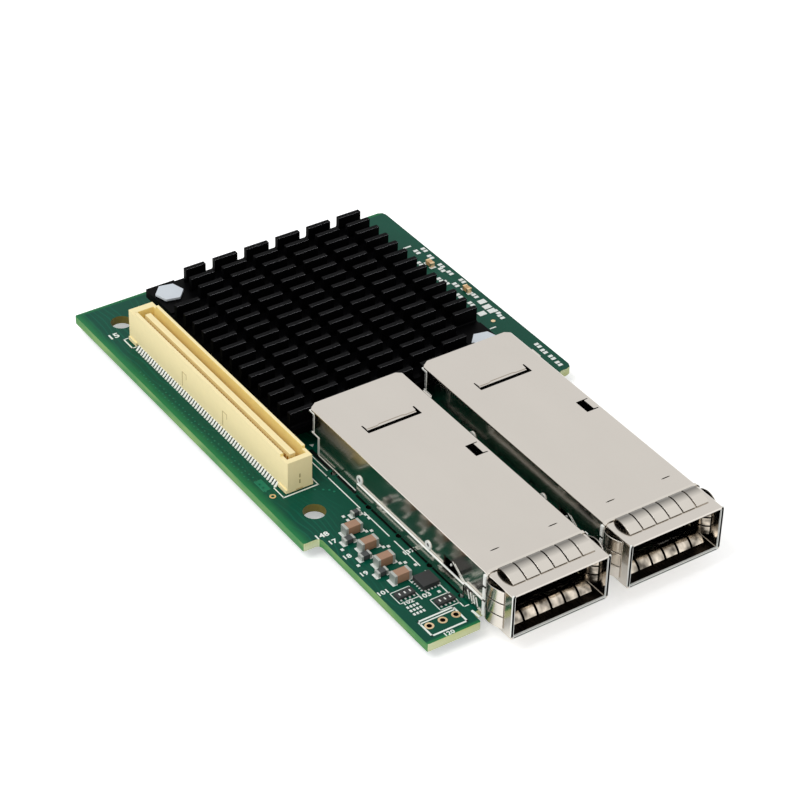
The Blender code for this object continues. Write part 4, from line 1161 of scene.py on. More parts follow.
    def vias(self) -> None:
        """Lay the masked vias and the masked copper patch."""
        maker = Maker()
        for row, start in Copper.VIA_ROWS:
            for index in range(Copper.VIAS_IN_ROW):
                place = (row + 0.12 * math.sin(index * 2.1), start + index * Copper.VIA_PITCH)
                maker.plate([ring_points(place, 0.17, 8)], (0.0, self.copper))
        for place in Copper.SINGLE_VIAS:
            maker.plate([ring_points(place, 0.2, 12)], (0.0, self.copper))
        maker.plate([rectangle(*Copper.PATCH)], (0.0, self.copper))
        maker.piece("masked_copper", self.card, [Finishes.MASK_OVER_COPPER])

    def wall_shadow(self) -> None:
        """Lay near-black strips that paint the shadow beside the walls of the cages."""
        maker = Maker()
        for side in ("left", "right"):
            across, _, _ = self.card.spans("cage_shell_" + side)
            for edge, way in ((across[0], -1), (across[1], 1)):
                for start, end, reach in Copper.SHADOW_STRIPS:
                    maker.box(beside(edge, way, -0.3, reach), (start, end),
                              (0.0, self.shadow_height))
        maker.piece("painted_wall_shadow", self.card, [Finishes.WALL_SHADOW])


@dataclass
class Heatsink:
    """Cross-cut heatsink and its screws.

    Attributes:
        card: Frame of the card.
        rows: Rows of teeth along the card.
        columns: Teeth in a row.
        thickness: Thickness of a row.
        end_margin: Distance of the first and last row from the ends.
        notch: Width of the notch between two teeth.
        floor: Height of the plate's top.
        notch_floor: Height of the notches' floor.
        notch_fillet: Radius of the notches' lower corners.
        flat_rows: Rows that leave room for a screw.
        flat_rise: Height of the screws' flats above the plate.
        rear_trim: How much narrower the first rear tooth is.
        foot: Reach of the chamfer at a row's foot.
        foot_height: Height of that chamfer.
        edge: Width of the broken edges.
        head_flats: Size of the screw heads across their flats.
        head_turn: Turn of the heads, in degrees.
        shank: Radius of the screws' shanks.
    """
    card: CardFrame
    rows: int = 16
    columns: int = 7
    thickness: float = 0.9
    end_margin: float = 0.85
    notch: float = 1.9
    floor: float = 4.55
    notch_floor: float = 5.0
    notch_fillet: float = 0.6
    flat_rows: int = 3
    flat_rise: float = 0.3
    rear_trim: float = 0.7
    foot: float = 0.16
    foot_height: float = 0.22
    edge: float = 0.12
    head_flats: float = 4.65
    head_turn: float = -13.0
    shank: float = 1.25

    def build(self, frame: dict) -> None:
        """Build the heatsink and dress its screws.
        """
        self.across, self.along, self.up = self.card.spans("heatsink")
        self.pitch = (self.across[1] - self.across[0] + self.notch) / self.columns
        maker = Maker()
        maker.box(self.across, self.along, (self.up[0], self.floor))
        first = self.along[0] + self.end_margin
        last = self.along[1] - self.end_margin - self.thickness
        step = (last - first) / (self.rows - 1)
        self.flats(maker, step)
        for row in range(self.rows):
            self.fin(maker, row, first + step * row)
        maker.piece("finned_heatsink", self.card, [Finishes.ANODISED], ["heatsink"],
                    "black_anodised", edge=self.edge, segments=1)
        for place in ("rear", "front"):
            self.screw(place)

    def flats(self, maker: Maker, step: float) -> None:
        """Add the two flats that the screws press on."""
        width = self.pitch - self.notch / 2
        length = self.end_margin + step * self.flat_rows - (step - self.thickness) / 2
        up = (self.floor - LAP, self.floor + self.flat_rise)
        maker.box((self.across[0], self.across[0] + width),
                  (self.along[0], self.along[0] + length), up)
        maker.box((self.across[1] - width, self.across[1]),
                  (self.along[1] - length, self.along[1]), up)

    def teeth(self, row: int) -> list[Span]:
        """Spans of the teeth in one row."""
        columns = list(range(self.columns))
        if row < self.flat_rows:
            columns = columns[1:]
        if row >= self.rows - self.flat_rows:
            columns = columns[:-1]
        spans = []
        for column in columns:
            start = self.across[0] + self.pitch * column
            trim = self.rear_trim if row == 0 and column == 1 else 0.0
            spans.append((start + trim, start + self.pitch - self.notch))
        return spans

    def fin(self, maker: Maker, row: int, along: float) -> None:
        """Add one row of teeth with round-bottomed notches."""
        top = self.up[1]
        outline: list[Point] = []
        teeth = self.teeth(row)
        for index, (start, end) in enumerate(teeth):
            low = self.floor - LAP
            if index:
                outline += self.fillet(start, -1)
            else:
                outline.append((start, low))
            outline += [(start, top), (end, top)]
            if index < len(teeth) - 1:
                outline += self.fillet(end, 1)
            else:
                outline.append((end, low))
        maker.plate([outline], (along, along + self.thickness), Plane.FRONT)
        low, high = self.floor - LAP / 2, self.floor + self.foot_height
        section = [(along - self.foot, low), (along - self.foot, self.floor), (along, high),
                   (along + self.thickness, high),
                   (along + self.thickness + self.foot, self.floor),
                   (along + self.thickness + self.foot, low)]
        maker.plate([section], (teeth[0][0], teeth[-1][1]), Plane.SIDE)

    def fillet(self, wall: float, way: int) -> list[Point]:
        """Round corner between a tooth's wall and the notch floor.

        Args:
            wall: Place of the wall across the card.
            way: +1 where the notch lies to the right of the wall, else -1.

        Returns:
            The arc's points in the order in which the outline runs.
        """
        centre = (wall + way * self.notch_fillet, self.notch_floor + self.notch_fillet)
        steps = 4
        arc = []
        for step in range(steps + 1):
            turn = math.radians(90.0 * step / steps)
            arc.append((centre[0] - way * self.notch_fillet * math.cos(turn),
                        centre[1] - self.notch_fillet * math.sin(turn)))
        return arc if way > 0 else arc[::-1]

    def screw(self, place: str) -> None:
        """Add one hexagonal screw with its shank."""
        across, along, up = self.card.spans("heatsink_screw_" + place)
        centre = (sum(across) / 2, sum(along) / 2)
        radius = self.head_flats / math.sqrt(3.0)
        turn = math.radians(self.head_turn)
        head = [(centre[0] + radius * math.cos(turn + math.pi * k / 3),
                 centre[1] - radius * math.sin(turn + math.pi * k / 3)) for k in range(6)]
        base = self.floor + self.flat_rise + 0.1
        maker = Maker()
        maker.plate([head], (base, up[1]))
        maker.plate([ring_points(centre, self.shank, 24)], (up[0], base + LAP))
        maker.piece("hex_screw_" + place, self.card, [Finishes.HEX],
                    ["heatsink_screw_" + place], "pale_screw", edge=0.12)


@dataclass
class StackingConnector:
    """Cream stacking connector with its contact blade and gull-wing leads.

    Attributes:
        card: Frame of the card.
        width: Width of the housing.
        wall: Thickness of its side walls.
        rear_wall: Thickness of its rear wall.
        front_wall: Thickness of its front wall.
        body_top: Height of its end blocks.
        rim_setback: Distance of the raised rims from both ends.
        lift: Height of its underside.
        floor: Height of the pocket's floor.
        blade_width: Width of the contact blade.
        blade_top: Height of the blade.
        blade_gap: Distance of the blade from the ends of the pocket.
        contacts: Contacts in a row.
        pitch: Distance from one contact to the next.
        contacts_from_rear: Distance of the first contact from the rear end.
        contact_drop: How far the contacts end below the top of the blade.
        foot_reach: How far the feet stand out at the sides.
        foot_length: Length of a foot.
        foot_height: Height of a foot.
        relief_marks: Starts of the two angled marks on the left side.
        lead_path: Distance from the wall and height of a lead's middle line.
        lead_sheet: Thickness of a lead.
        lead_half: Half of its width.
        pad_reach: Where its pad starts and ends, from the wall.
    """
    card: CardFrame
    width: float = 4.9
    wall: float = 0.6
    rear_wall: float = 1.5
    front_wall: float = 1.1
    body_top: float = 6.5
    rim_setback: float = 2.3
    lift: float = 0.6
    floor: float = 1.8
    blade_width: float = 1.12
    blade_top: float = 6.3
    blade_gap: float = 1.2
    contacts: int = 60
    pitch: float = 0.8
    contacts_from_rear: float = 3.8
    foot_reach: float = 0.25
    foot_length: float = 2.8
    foot_height: float = 0.9
    contact_drop: float = 0.85
    relief_marks: Span = (31.0, 44.8)
    lead_path: tuple[Point, ...] = ((-0.4, 0.74), (0.06, 0.72), (0.14, 0.64), (0.5, 0.14),
                                    (0.66, 0.1))
    lead_sheet: float = 0.16
    lead_half: float = 0.22
    pad_reach: Span = (0.35, 0.82)

    def build(self) -> None:
        """Build the housing, the contacts, the leads and their pads."""
        across, self.along, self.up = self.card.spans("mezzanine_connector")
        self.middle = sum(across) / 2
        self.across = around(self.middle, self.width / 2)
        self.housing()
        self.blade_contacts()
        self.leads()

    def housing(self) -> None:
        """Build the housing with its pocket, rims, blade and feet."""
        maker = Maker()
        left, right = self.across
        rear, front = self.along
        maker.box(self.across, self.along, (self.lift, self.body_top))
        bm = maker.bm
        cuts = [(0, left + self.wall), (0, right - self.wall), (1, rear + self.rear_wall),
                (1, front - self.front_wall), (1, rear + self.rim_setback),
                (1, front - self.rim_setback)]
        for axis, place in cuts:
            normal = Vector((0.0, 0.0, 0.0))
            normal[axis] = 1.0
            bmesh.ops.bisect_plane(bm, geom=[*bm.verts, *bm.edges, *bm.faces], dist=1e-5,
                                   plane_co=normal * place, plane_no=normal)

        def in_rim(point: Vector) -> bool:
            """Whether a point lies on one of the raised rims."""
            sideways = point.x < left + self.wall or point.x > right - self.wall
            return sideways and rear + self.rim_setback < point.y < front - self.rim_setback

        def in_pocket(point: Vector) -> bool:
            """Whether a point lies in the pocket."""
            return (left + self.wall < point.x < right - self.wall
                    and rear + self.rear_wall < point.y < front - self.front_wall)

        self.push(bm, in_rim, self.up[1] - self.body_top)
        self.push(bm, in_pocket, self.floor - self.body_top)
        # The pocket's walls and floor take the darker cream copy as painted shade
        for face in bm.faces:
            centre = face.calc_center_median()
            inner = (left + self.wall / 2 < centre.x < right - self.wall / 2
                     and rear + 1.0 < centre.y < front - 0.8)
            if inner and abs(face.normal.z) < 0.5 or centre.z < self.floor + 0.1 and inner:
                face.material_index = 1
        maker.box(around(self.middle, self.blade_width / 2),
                  (rear + self.rear_wall + self.blade_gap,
                   front - self.front_wall - self.blade_gap),
                  (self.floor - LAP, self.blade_top))
        feet = (left - self.foot_reach, right + self.foot_reach)
        maker.box(feet, (rear + 0.1, rear + self.foot_length), (0.1, self.foot_height))
        maker.box(feet, (front - self.foot_length, front - 0.1), (0.1, self.foot_height))
        maker.slot = 2
        self.relief_shadows(maker)
        maker.piece("connector_housing", self.card,
                    [Finishes.CREAM, Finishes.CREAM_POCKET_SHADE, Finishes.CREAM_RELIEF_SHADOW],
                    ["mezzanine_connector"], "connector_cream", edge=0.1)

    def relief_shadows(self, maker: Maker) -> None:
        """Add thin raised marks on the left side and the front, coloured dark as painted shadow of
        their relief.

        Args:
            maker: Piece that takes the lines.
        """
        side = beside(self.across[0], 1, -0.05, 0.1)
        for start in self.relief_marks:
            maker.box(side, (start, start + 0.14), (1.3, 4.4))
            maker.box(side, (start, start + 1.5), (4.28, 4.4))
            maker.box(side, (start + 1.4, start + 1.5), (3.3, 4.4))
        face = beside(self.along[1], 1, -0.1, 0.04)
        for across, up in (((6.5, 7.85), (0.3, 0.42)), ((7.1, 7.36), (1.5, 2.3)),
                           ((7.1, 7.36), (2.7, 3.5))):
            maker.box(across, face, up)

    @staticmethod
    def push(bm: bmesh.types.BMesh, where: Callable[[Vector], bool], by: float) -> None:
        """Push a region of the housing's top face up or down.

        Args:
            bm: The housing.
            where: Whether a face's centre lies in the region.
            by: Distance up, or down where it is below 0.
        """
        faces = [face for face in bm.faces
                 if face.normal.z > 0.5 and where(face.calc_center_median())]
        grown = bmesh.ops.extrude_face_region(bm, geom=faces)
        moved = [item for item in grown["geom"] if isinstance(item, bmesh.types.BMVert)]
        bmesh.ops.translate(bm, vec=(0.0, 0.0, by), verts=moved)
        bmesh.ops.delete(bm, geom=[face for face in faces if face.is_valid], context="FACES")
        bm.normal_update()

    def stations(self) -> list[float]:
        """Places of the contacts along the connector."""
        first = self.along[0] + self.contacts_from_rear
        return [first + self.pitch * index for index in range(self.contacts)]

    def blade_contacts(self) -> None:
        """Add the gold contacts on both faces of the blade."""
        maker = Maker()
        half = self.blade_width / 2
        for station in self.stations():
            for side in (-1, 1):
                maker.box(around(self.middle + side * half, 0.06), around(station, 0.2),
                          (self.floor, self.blade_top - self.contact_drop))
        maker.piece("blade_contacts", self.card, [Finishes.GOLD])

    def leads(self) -> None:
        """Add the gull-wing leads and the pads that they are soldered to."""
        leads = Maker()
        pads = Maker()
        for side, edge in ((-1, self.across[0]), (1, self.across[1])):
            section = ribbon([(edge + side * out, height) for out, height in self.lead_path],
                             self.lead_sheet)
            for station in self.stations():
                leads.plate([section], around(station, self.lead_half), Plane.FRONT)
                pads.box(beside(edge, side, *self.pad_reach),
                         around(station, self.lead_half + 0.01), (0.0, 0.06))
        leads.piece("connector_leads", self.card, [Finishes.TIN])
        pads.piece("connector_pads", self.card, [Finishes.SOLDER])


@dataclass(frozen=True)
class Finger:
    """Section of one spring finger, along the card and away from a face.

    Attributes:
        root: Where its flat root starts.
        start: Where its arch starts.
        end: Where its arch ends.
        rise: Height of the arch.
        stand: Height of the root's middle above the face.
        skew: Power of the arch's run; below 1 its highest point lies nearer to the root.
        sheet: Thickness of the finger.
    """
    root: float
    start: float
    end: float
    rise: float
    stand: float = 0.0
    skew: float = 1.0
    sheet: float = 0.16
    # Power that flattens the arch's top, and the count of its chords
    FLATTEN = 0.8
    STEPS = 12

    def section(self, base: float, way: int) -> list[Point]:
        """Outline of the finger on a face.

        Args:
            base: Place of the face.
            way: +1 or -1, the way in which the finger arches.

        Returns:
            The closed outline of its section.
        """
        foot = base + way * self.stand
        path = [(self.root, foot), (self.start, foot)]
        for step in range(1, self.STEPS + 1):
            share = step / self.STEPS
            lift = self.rise * math.sin(math.pi * share ** self.skew) ** self.FLATTEN
            path.append((self.start + (self.end - self.start) * share, foot + way * lift))
        return ribbon(path, self.sheet)


def comb(span: Span, margin: float, gap: float, count: int) -> list[Span]:
    """Divide a span into equal fingers.

    Args:
        span: Span that the fingers share.
        margin: Distance of the outer fingers from its ends.
        gap: Distance from one finger to the next.
        count: Number of fingers.

    Returns:
        The span of each finger.
    """
    width = (span[1] - span[0] - 2 * margin - (count - 1) * gap) / count
    starts = [span[0] + margin + index * (width + gap) for index in range(count)]
    return [(start, start + width) for start in starts]


@dataclass
class PortCage:
    """One port cage: folded shell, floor, finger collars and receptacle.

    Attributes:
        card: Frame of the card.
        side: Which of the two cages it is, left or right.
        sheet: Thickness of the shell.
        bend: Inner radius of the bends along the shell.
        top_length: Length of the top from the mouth.
        wall_length: Length of the walls from the mouth.
        corner_radius: Inner radius of the two rear corners.
        wing_top: Height of the upper edge of the rear wings.
        step_height: Height of the step in the walls.
        wall_base: Height of the lower edge of the walls.
        collar_from_mouth: Distance of the outer collar's root from the mouth.
        root_length: Length of a collar's root.
        outer_arch: Length of the outer fingers' arch.
        outer_rise: Height of that arch.
        inner_foot: Distance of the inner fingers' ends from the mouth.
        inner_rise: Height of their arch.
        finger_sheet: Thickness of the fingers.
        floor_sheet: Thickness of the floor.
        floor_bend: Inner radius of its bends.
        floor_base: Height of its underside.
        floor_length: Its length from the mouth.
        flange_out: Distance of the flanges' outer faces from the walls.
        floor_inset: How much narrower the floor is where it has no flange.
        rear_flange: Height of the flanges' rear part.
        front_flange: Height of their front part.
        jog_from_mouth: Distance of the step between both parts from the mouth.
        shoulder_from_mouth: Distance of the flanges' front end from the mouth.
        tail_depth: How far the solder tails reach below the board's top.
    """
    card: CardFrame
    side: str
    sheet: float = 0.4
    bend: float = 0.2
    top_length: float = 59.55
    wall_length: float = 58.65
    corner_radius: float = 0.55
    wing_top: float = 8.0
    step_height: float = 4.1
    wall_base: float = 0.5
    collar_from_mouth: float = 7.3
    root_length: float = 0.7
    outer_arch: float = 4.4
    outer_rise: float = 0.84
    inner_foot: float = 2.2
    inner_rise: float = 1.35
    finger_sheet: float = 0.16
    floor_sheet: float = 0.3
    floor_bend: float = 0.1
    floor_base: float = 0.1
    floor_length: float = 58.8
    flange_out: float = 0.4
    floor_inset: float = 0.9
    rear_flange: float = 2.6
    front_flange: float = 3.2
    jog_from_mouth: float = 12.7
    shoulder_from_mouth: float = 7.5
    tail_depth: float = 3.1
    # Proud strips of a wall, pale as cut edge and painted highlight: inwards from its face, back
    # from the mouth, and up
    WALL_STRIPS = (((-0.05, 0.2), (-57.72, -57.55), (4.4, 8.1)),
                   ((0.35, 0.6), (-58.6, -58.48), (4.2, 8.0)),
                   ((-0.06, 0.2), (-58.3, -55.9), (3.98, 4.26)),
                   ((-0.05, 0.2), (-56.42, -56.28), (0.5, 4.0)),
                   ((-0.04, 0.2), (-56.02, -55.92), (0.5, 4.0)),
                   ((-0.08, 0.2), (-59.1, -57.6), (8.1, 8.34)),
                   ((-0.04, 0.2), (-16.9, -16.6), (3.5, 3.85)),
                   ((-0.05, 0.2), (-56.2, -44.6), (0.32, 0.55)),
                   ((-0.02, 0.48), (-0.3, 0.0), (0.5, 8.9)))
    # Slanted line of the latch tab, back from the mouth and up, and where its copies lie
    TAB_LINE = ((-16.82, 4.7), (-16.72, 4.7), (-12.93, 2.3), (-13.03, 2.3))
    TAB_LINE_SHIFTS = (0.5, 1.15)
    # Outlines of the openings, drawn for a mouth at this place
    DRAWN_MOUTH = 116.2
    SLOT = ((-5.3, 66.5), (-5.05, 66.5), (-4.95, 67.6), (-2.8, 67.65), (-2.3, 67.38),
            (2.4, 67.38), (2.9, 67.6), (5.1, 67.6), (5.2, 66.45), (5.5, 66.45), (5.55, 68.85),
            (-5.3, 68.85))
    WINDOW = ((6.36, 80.37), (8.75, 80.37), (8.75, 80.55), (7.95, 80.6), (7.95, 83.35),
              (8.8, 83.45), (8.8, 83.65), (6.36, 83.65))
    SLIT = ((0.0, 105.1), (0.5, 104.98), (1.5, 104.98), (2.0, 105.1), (1.5, 105.22),
            (0.5, 105.22))
    SLIT_STARTS = (-6.25, 5.25)
    LATCH_WINDOW = ((97.4, 4.55), (97.4, 1.2), (104.4, 1.2), (99.65, 4.45))
    # Collar's root between its fingers: raised strips, pale as painted highlight, and dark boxes of
    # painted shade in the gaps between them
    ROOT_STRIPS = ((6.45, 8.55), (3.65, 5.85), (0.3, 3.05))
    ROOT_GAPS = ((5.9, 6.4), (3.1, 3.6))
    # Turns a section from the upright plane along the card into the flat one
    LAY_FLAT = Matrix(((0, 1, 0, 0), (1, 0, 0, 0), (0, 0, 1, 0), (0, 0, 0, 1)))

    def build(self, frame: dict) -> None:
        """Build the cage.
        """
        self.across, self.along, self.up = self.card.spans("cage_shell_" + self.side)
        self.middle = sum(self.across) / 2
        self.half = (self.across[1] - self.across[0]) / 2 - self.sheet - self.bend
        self.walls = ((self.across[0], -1), (self.across[1], 1))
        self.shell()
        self.floor()
        refine(frame, "port_receptacle_" + self.side, Finishes.MOULDING, 0.08)
        self.outer_collar()
        self.inner_collar()

    def wall(self, height: float) -> float:
        """Place on the flat sheet of a height on the wall."""
        bend_end = self.up[1] - self.sheet - self.bend
        return self.half + self.bend * math.pi / 2 + bend_end - height

    def shell(self) -> None:
        """Fold the shell from one flat sheet."""
        mouth = self.along[1]
        lip = mouth - self.top_length
        corner = mouth - self.wall_length + self.corner_radius + self.sheet
        wing_end = corner - self.corner_radius * math.pi / 2 - self.half + 0.45
        collar = mouth - self.collar_from_mouth - 0.1
        wing_top = self.wall(self.wing_top)
        step = self.wall(self.step_height)
        base = self.wall(self.wall_base)
        foot = self.wall(self.up[0])
        right = [(self.half - 0.7, lip), (self.half, lip + 0.5), (self.half + 0.32, lip + 0.95),
                 (self.half + 0.42, corner - 0.1), (wing_top, corner), (wing_top, wing_end),
                 (step, wing_end), (step, corner + 1.6), (base, corner + 1.6), (base, collar),
                 (foot, collar), (foot, mouth)]
        outline = right + [(-x, y) for x, y in right[::-1]]
        loops = [outline, *self.top_openings(mouth), *self.wall_openings()]
        wing = (wing_top - 0.01, step + 0.01)
        folds = [Fold(1, corner, -1, radius=self.corner_radius, reach=wing),
                 Fold(1, corner, -1, radius=self.corner_radius, reach=(-wing[1], -wing[0])),
                 Fold(0, self.half, 1), Fold(0, -self.half, -1)]
        maker = Maker()
        place = Matrix.Translation((self.middle, 0.0, self.up[1] - self.sheet))
        fold_sheet(maker, loops, self.sheet, folds, place)
        maker.box(beside(self.across[1], 1, -LAP, 0.45), (mouth - 53.3, mouth - 50.9),
                  (8.05, 8.4))
        maker.box((self.middle - 4.95, self.middle + 5.05), (mouth - 48.85, mouth - 48.25),
                  (self.up[1] - 0.34, self.up[1] - 0.12))
        maker.slot = 1
        for edge, out in self.walls:
            for station in (mouth - 43.4, mouth - 23.1):
                self.dimple(maker, edge, out, station, 3.5)
            self.edge_highlights(maker, edge, out)
        made = maker.piece("folded_shell_" + self.side, self.card,
                           [Finishes.CAGE, Finishes.EDGE_HIGHLIGHT, Finishes.SHADED],
                           ["cage_shell_" + self.side], "cage_nickel_silver", edge=0.06)
        weigh_normals(made)

    def edge_highlights(self, maker: Maker, edge: float, out: int) -> None:
        """Add pale strips along the pressed edges and the latch tab of one wall, which stand a
        little proud: partly cut edge, partly painted highlight.

        Args:
            maker: Piece that takes them.
            edge: Outer face of the wall.
            out: +1 or -1, the way out of the cage.
        """
        mouth = self.along[1]
        for across, along, up in self.WALL_STRIPS:
            maker.box(beside(edge, -out, *across), (mouth + along[0], mouth + along[1]), up)
        for shift in self.TAB_LINE_SHIFTS:
            line = [(mouth + place + shift, height) for place, height in self.TAB_LINE]
            maker.plate([line], beside(edge, out, -0.15, 0.05), Plane.SIDE)

    def floor_outline(self, wide: float, line: float) -> list[Point]:
        """Outline of the flat sheet of the floor.

        Args:
            wide: Distance of the flanges' outer faces from the middle.
            line: Distance of the bends from the middle.

        Returns:
            The outline's points.
        """
        def flat(height: float) -> float:
            """Place on the flat sheet of a height on the flange."""
            bend_end = self.floor_base + self.floor_sheet + self.floor_bend
            return line + self.floor_bend * math.pi / 2 + height - bend_end

        mouth = self.along[1]
        rear = mouth - self.floor_length
        jog = mouth - self.jog_from_mouth
        shoulder = mouth - self.shoulder_from_mouth
        narrow = wide - self.floor_inset
        lug = wide - 0.05
        top, dip, front_top = flat(self.rear_flange), flat(0.62), flat(self.front_flange)
        right = [(narrow, rear + 2.8), (narrow, rear + 7.3), (lug, rear + 7.3),
                 (lug, rear + 8.3), (narrow, rear + 8.3), (narrow, rear + 15.0),
                 (top, rear + 15.0), (top, jog), (dip, jog), (dip, jog + 0.3),
                 (front_top, jog + 0.3), (front_top, shoulder), (narrow, shoulder),
                 (narrow, mouth)]
        return right + [(-x, y) for x, y in right[::-1]]

    def floor(self) -> None:
        """Fold the floor, whose flanges stand up outside the walls."""
        base, sheet, radius = self.floor_base, self.floor_sheet, self.floor_bend
        mouth = self.along[1]
        rear = mouth - self.floor_length
        wide = (self.across[1] - self.across[0]) / 2 + self.flange_out
        line = wide - sheet - radius
        loops = [self.floor_outline(wide, line),
                 rectangle(around(0.0, 8.8), (rear + 4.2, rear + 15.5))]
        for station in (rear + 24.0, rear + 35.5, rear + 47.0):
            for middle in (-4.8, 4.8):
                loops.append(rectangle(around(middle, 0.7), (station, station + 2.2)))
        reach = (rear + 14.9, mouth - self.shoulder_from_mouth + 0.1)
        folds = [Fold(0, way * line, way, radius=radius, reach=reach) for way in (1, -1)]
        maker = Maker()
        lay = Matrix.Translation((self.middle, 0.0, base + sheet))
        fold_sheet(maker, loops, sheet, folds, lay @ Matrix.Diagonal((1.0, 1.0, -1.0, 1.0)))
        # Faces at the flanges' tops take the pale edge finish, partly painted highlight; the floor's
        # flat inner top takes the dark sheet as painted shade inside the cage
        for face in maker.bm.faces:
            heights = [vert.co.z for vert in face.verts]
            if min(heights) > self.rear_flange - 0.05:
                face.material_index = 1
            elif max(heights) - min(heights) < 0.01 and min(heights) > base + sheet - 0.01:
                face.material_index = 3
        maker.slot = 1
        self.flange_edges(maker)
        # Pale lip along the floor's front edge: partly the cut edge, partly painted highlight
        maker.box((self.across[0] + 0.3, self.across[1] - 0.3), (mouth - 0.4, mouth),
                  (base, base + sheet + 0.08))
        maker.slot = 2
        for way in (-1, 1):
            tail = self.middle + way * (wide - sheet / 2)
            for station in (rear + 7.8, mouth - self.jog_from_mouth - 0.4):
                maker.box(around(tail, 0.1), around(station, 0.35),
                          (-self.tail_depth, base + LAP))
        made = maker.piece("folded_floor_" + self.side, self.card,
                           [Finishes.CAGE, Finishes.EDGE_HIGHLIGHT, Finishes.END_CAP,
                            Finishes.SHADED],
                           ["cage_floor_" + self.side], "cage_nickel_silver", edge=0.04)
        weigh_normals(made)

    def flange_edges(self, maker: Maker) -> None:
        """Add the pale upper edges of the flanges, and the ribs near their front end: partly cut
        edge, partly painted highlight.

        Args:
            maker: Piece that takes them.
        """
        mouth = self.along[1]
        jog = mouth - self.jog_from_mouth
        rear_part = (mouth - self.floor_length + 15.0, jog)
        front_part = (jog + 0.3, mouth - self.shoulder_from_mouth)
        for edge, out in self.walls:
            for reach, along, height in ((0.27, rear_part, self.rear_flange),
                                         (0.42, front_part, self.front_flange)):
                maker.box(beside(edge, out, 0.02, reach), along, (height - 0.1, height + 0.04))
            face = beside(edge, out, 0.3, 0.47)
            for index in range(4):
                start = jog + 1.2 + index * 0.77
                rib = [(start, 2.5), (start + 0.2, 2.5), (start + 0.75, 1.0), (start + 0.55, 1.0)]
                maker.plate([rib], face, Plane.SIDE)

    @staticmethod
    def dimple(maker: Maker, edge: float, side: int, station: float, height: float) -> None:
        """Add one small raised ring to a wall: a pale ring of painted highlight round a dark middle
        of painted shade.

        Args:
            maker: Piece that takes it.
            edge: Outer face of the wall.
            side: +1 or -1, the way out of the cage.
            station: Place of its middle along the card.
            height: Height of its middle.
        """
        ring = [ring_points((station, height), radius, 20) for radius in (0.8, 0.36)]
        maker.plate(ring, beside(edge, side, -0.05, 0.16), Plane.SIDE)
        maker.slot = 2
        maker.plate([ring_points((station, height), 0.4, 16)], beside(edge, side, -0.05, 0.06),
                    Plane.SIDE)
        maker.slot = 1

    def top_openings(self, mouth: float) -> list[list[Point]]:
        """Openings in the top: lanced slot, window and formed slits.

        Args:
            mouth: Place of the cage's mouth.

        Returns:
            The outline of each opening.
        """
        slits = [[(start + x, y) for x, y in self.SLIT] for start in self.SLIT_STARTS]
        shift = mouth - self.DRAWN_MOUTH
        return [[(x, y + shift) for x, y in drawn] for drawn in (self.SLOT, self.WINDOW, *slits)]

    def wall_openings(self) -> list[list[Point]]:
        """Latch windows in both walls."""
        return [[(side * self.wall(height), place) for place, height in self.LATCH_WINDOW]
                for side in (-1, 1)]

    def collar(self, maker: Maker, finger: Finger, flats: Sequence[tuple[float, int]],
               columns: Sequence[Span], walls: Sequence[tuple[float, int]],
               rows: Sequence[Span]) -> None:
        """Add the fingers of one collar.

        Args:
            maker: Piece that takes them.
            finger: Section of a finger.
            flats: Height of each flat face that carries fingers, and the way that they arch.
            columns: Span of each finger on a flat face.
            walls: Place of each wall that carries fingers, and the way that they arch.
            rows: Span of each finger on a wall.
        """
        for base, way in flats:
            for span in columns:
                maker.plate([finger.section(base, way)], span, Plane.SIDE)
        for base, way in walls:
            for span in rows:
                maker.plate([finger.section(base, way)], span, Plane.TOP, self.LAY_FLAT)

    def outer_collar(self) -> None:
        """Add the collar of spring fingers round the mouth."""
        root = self.along[1] - self.collar_from_mouth
        start = root + self.root_length
        finger = Finger(root, start, start + self.outer_arch, self.outer_rise, stand=0.1,
                        skew=0.68, sheet=self.finger_sheet)
        maker = Maker()
        self.collar(maker, finger, ((self.up[1] + 0.02, 1), (self.up[0], -1)),
                    comb(self.across, 1.5, 0.25, 6), self.walls, comb(self.up, 0.7, 0.25, 3))
        maker.plate([self.loop(0.22), self.loop(0.02)], (root, start), Plane.FRONT)
        # Root strips in the pale edge finish as painted highlight, and dark boxes in the gaps as
        # painted shade
        for maker.slot, spans, reach in ((1, self.ROOT_STRIPS, 0.5), (2, self.ROOT_GAPS, 0.36)):
            for up in spans:
                for edge, out in self.walls:
                    maker.box(beside(edge, out, 0.1, reach), (root - 0.1, root + 0.6), up)
        made = maker.piece("spring_collar_" + self.side, self.card,
                           [Finishes.SPRING, Finishes.EDGE_HIGHLIGHT, Finishes.SHADED],
                           ["outer_fingers_" + self.side], "spring_nickel", edge=0.03,
                           segments=1)
        weigh_normals(made)

    def inner_collar(self) -> None:
        """Add the collar of spring fingers inside the mouth."""
        name = "inner_fingers_" + self.side
        across, along, up = self.card.spans(name)
        start = along[0] + self.root_length - 0.1
        finger = Finger(along[0], start, self.along[1] - self.inner_foot, self.inner_rise,
                        sheet=self.finger_sheet)
        half, band = self.finger_sheet / 2, self.finger_sheet * 1.2
        maker = Maker()
        self.collar(maker, finger, ((up[0] + half, 1), (up[1] - half, -1)),
                    comb(across, 1.1, 0.42, 6), ((across[0] + half, 1), (across[1] - half, -1)),
                    comb(up, 1.5, 0.3, 3))
        maker.plate([rectangle(across, up),
                     rectangle((across[0] + band, across[1] - band),
                               (up[0] + band, up[1] - band))], (along[0], start), Plane.FRONT)
        made = maker.piece("inner_collar_" + self.side, self.card, [Finishes.INNER_SPRING_SHADE],
                           [name], "spring_nickel", edge=0.03, segments=1)
        weigh_normals(made)

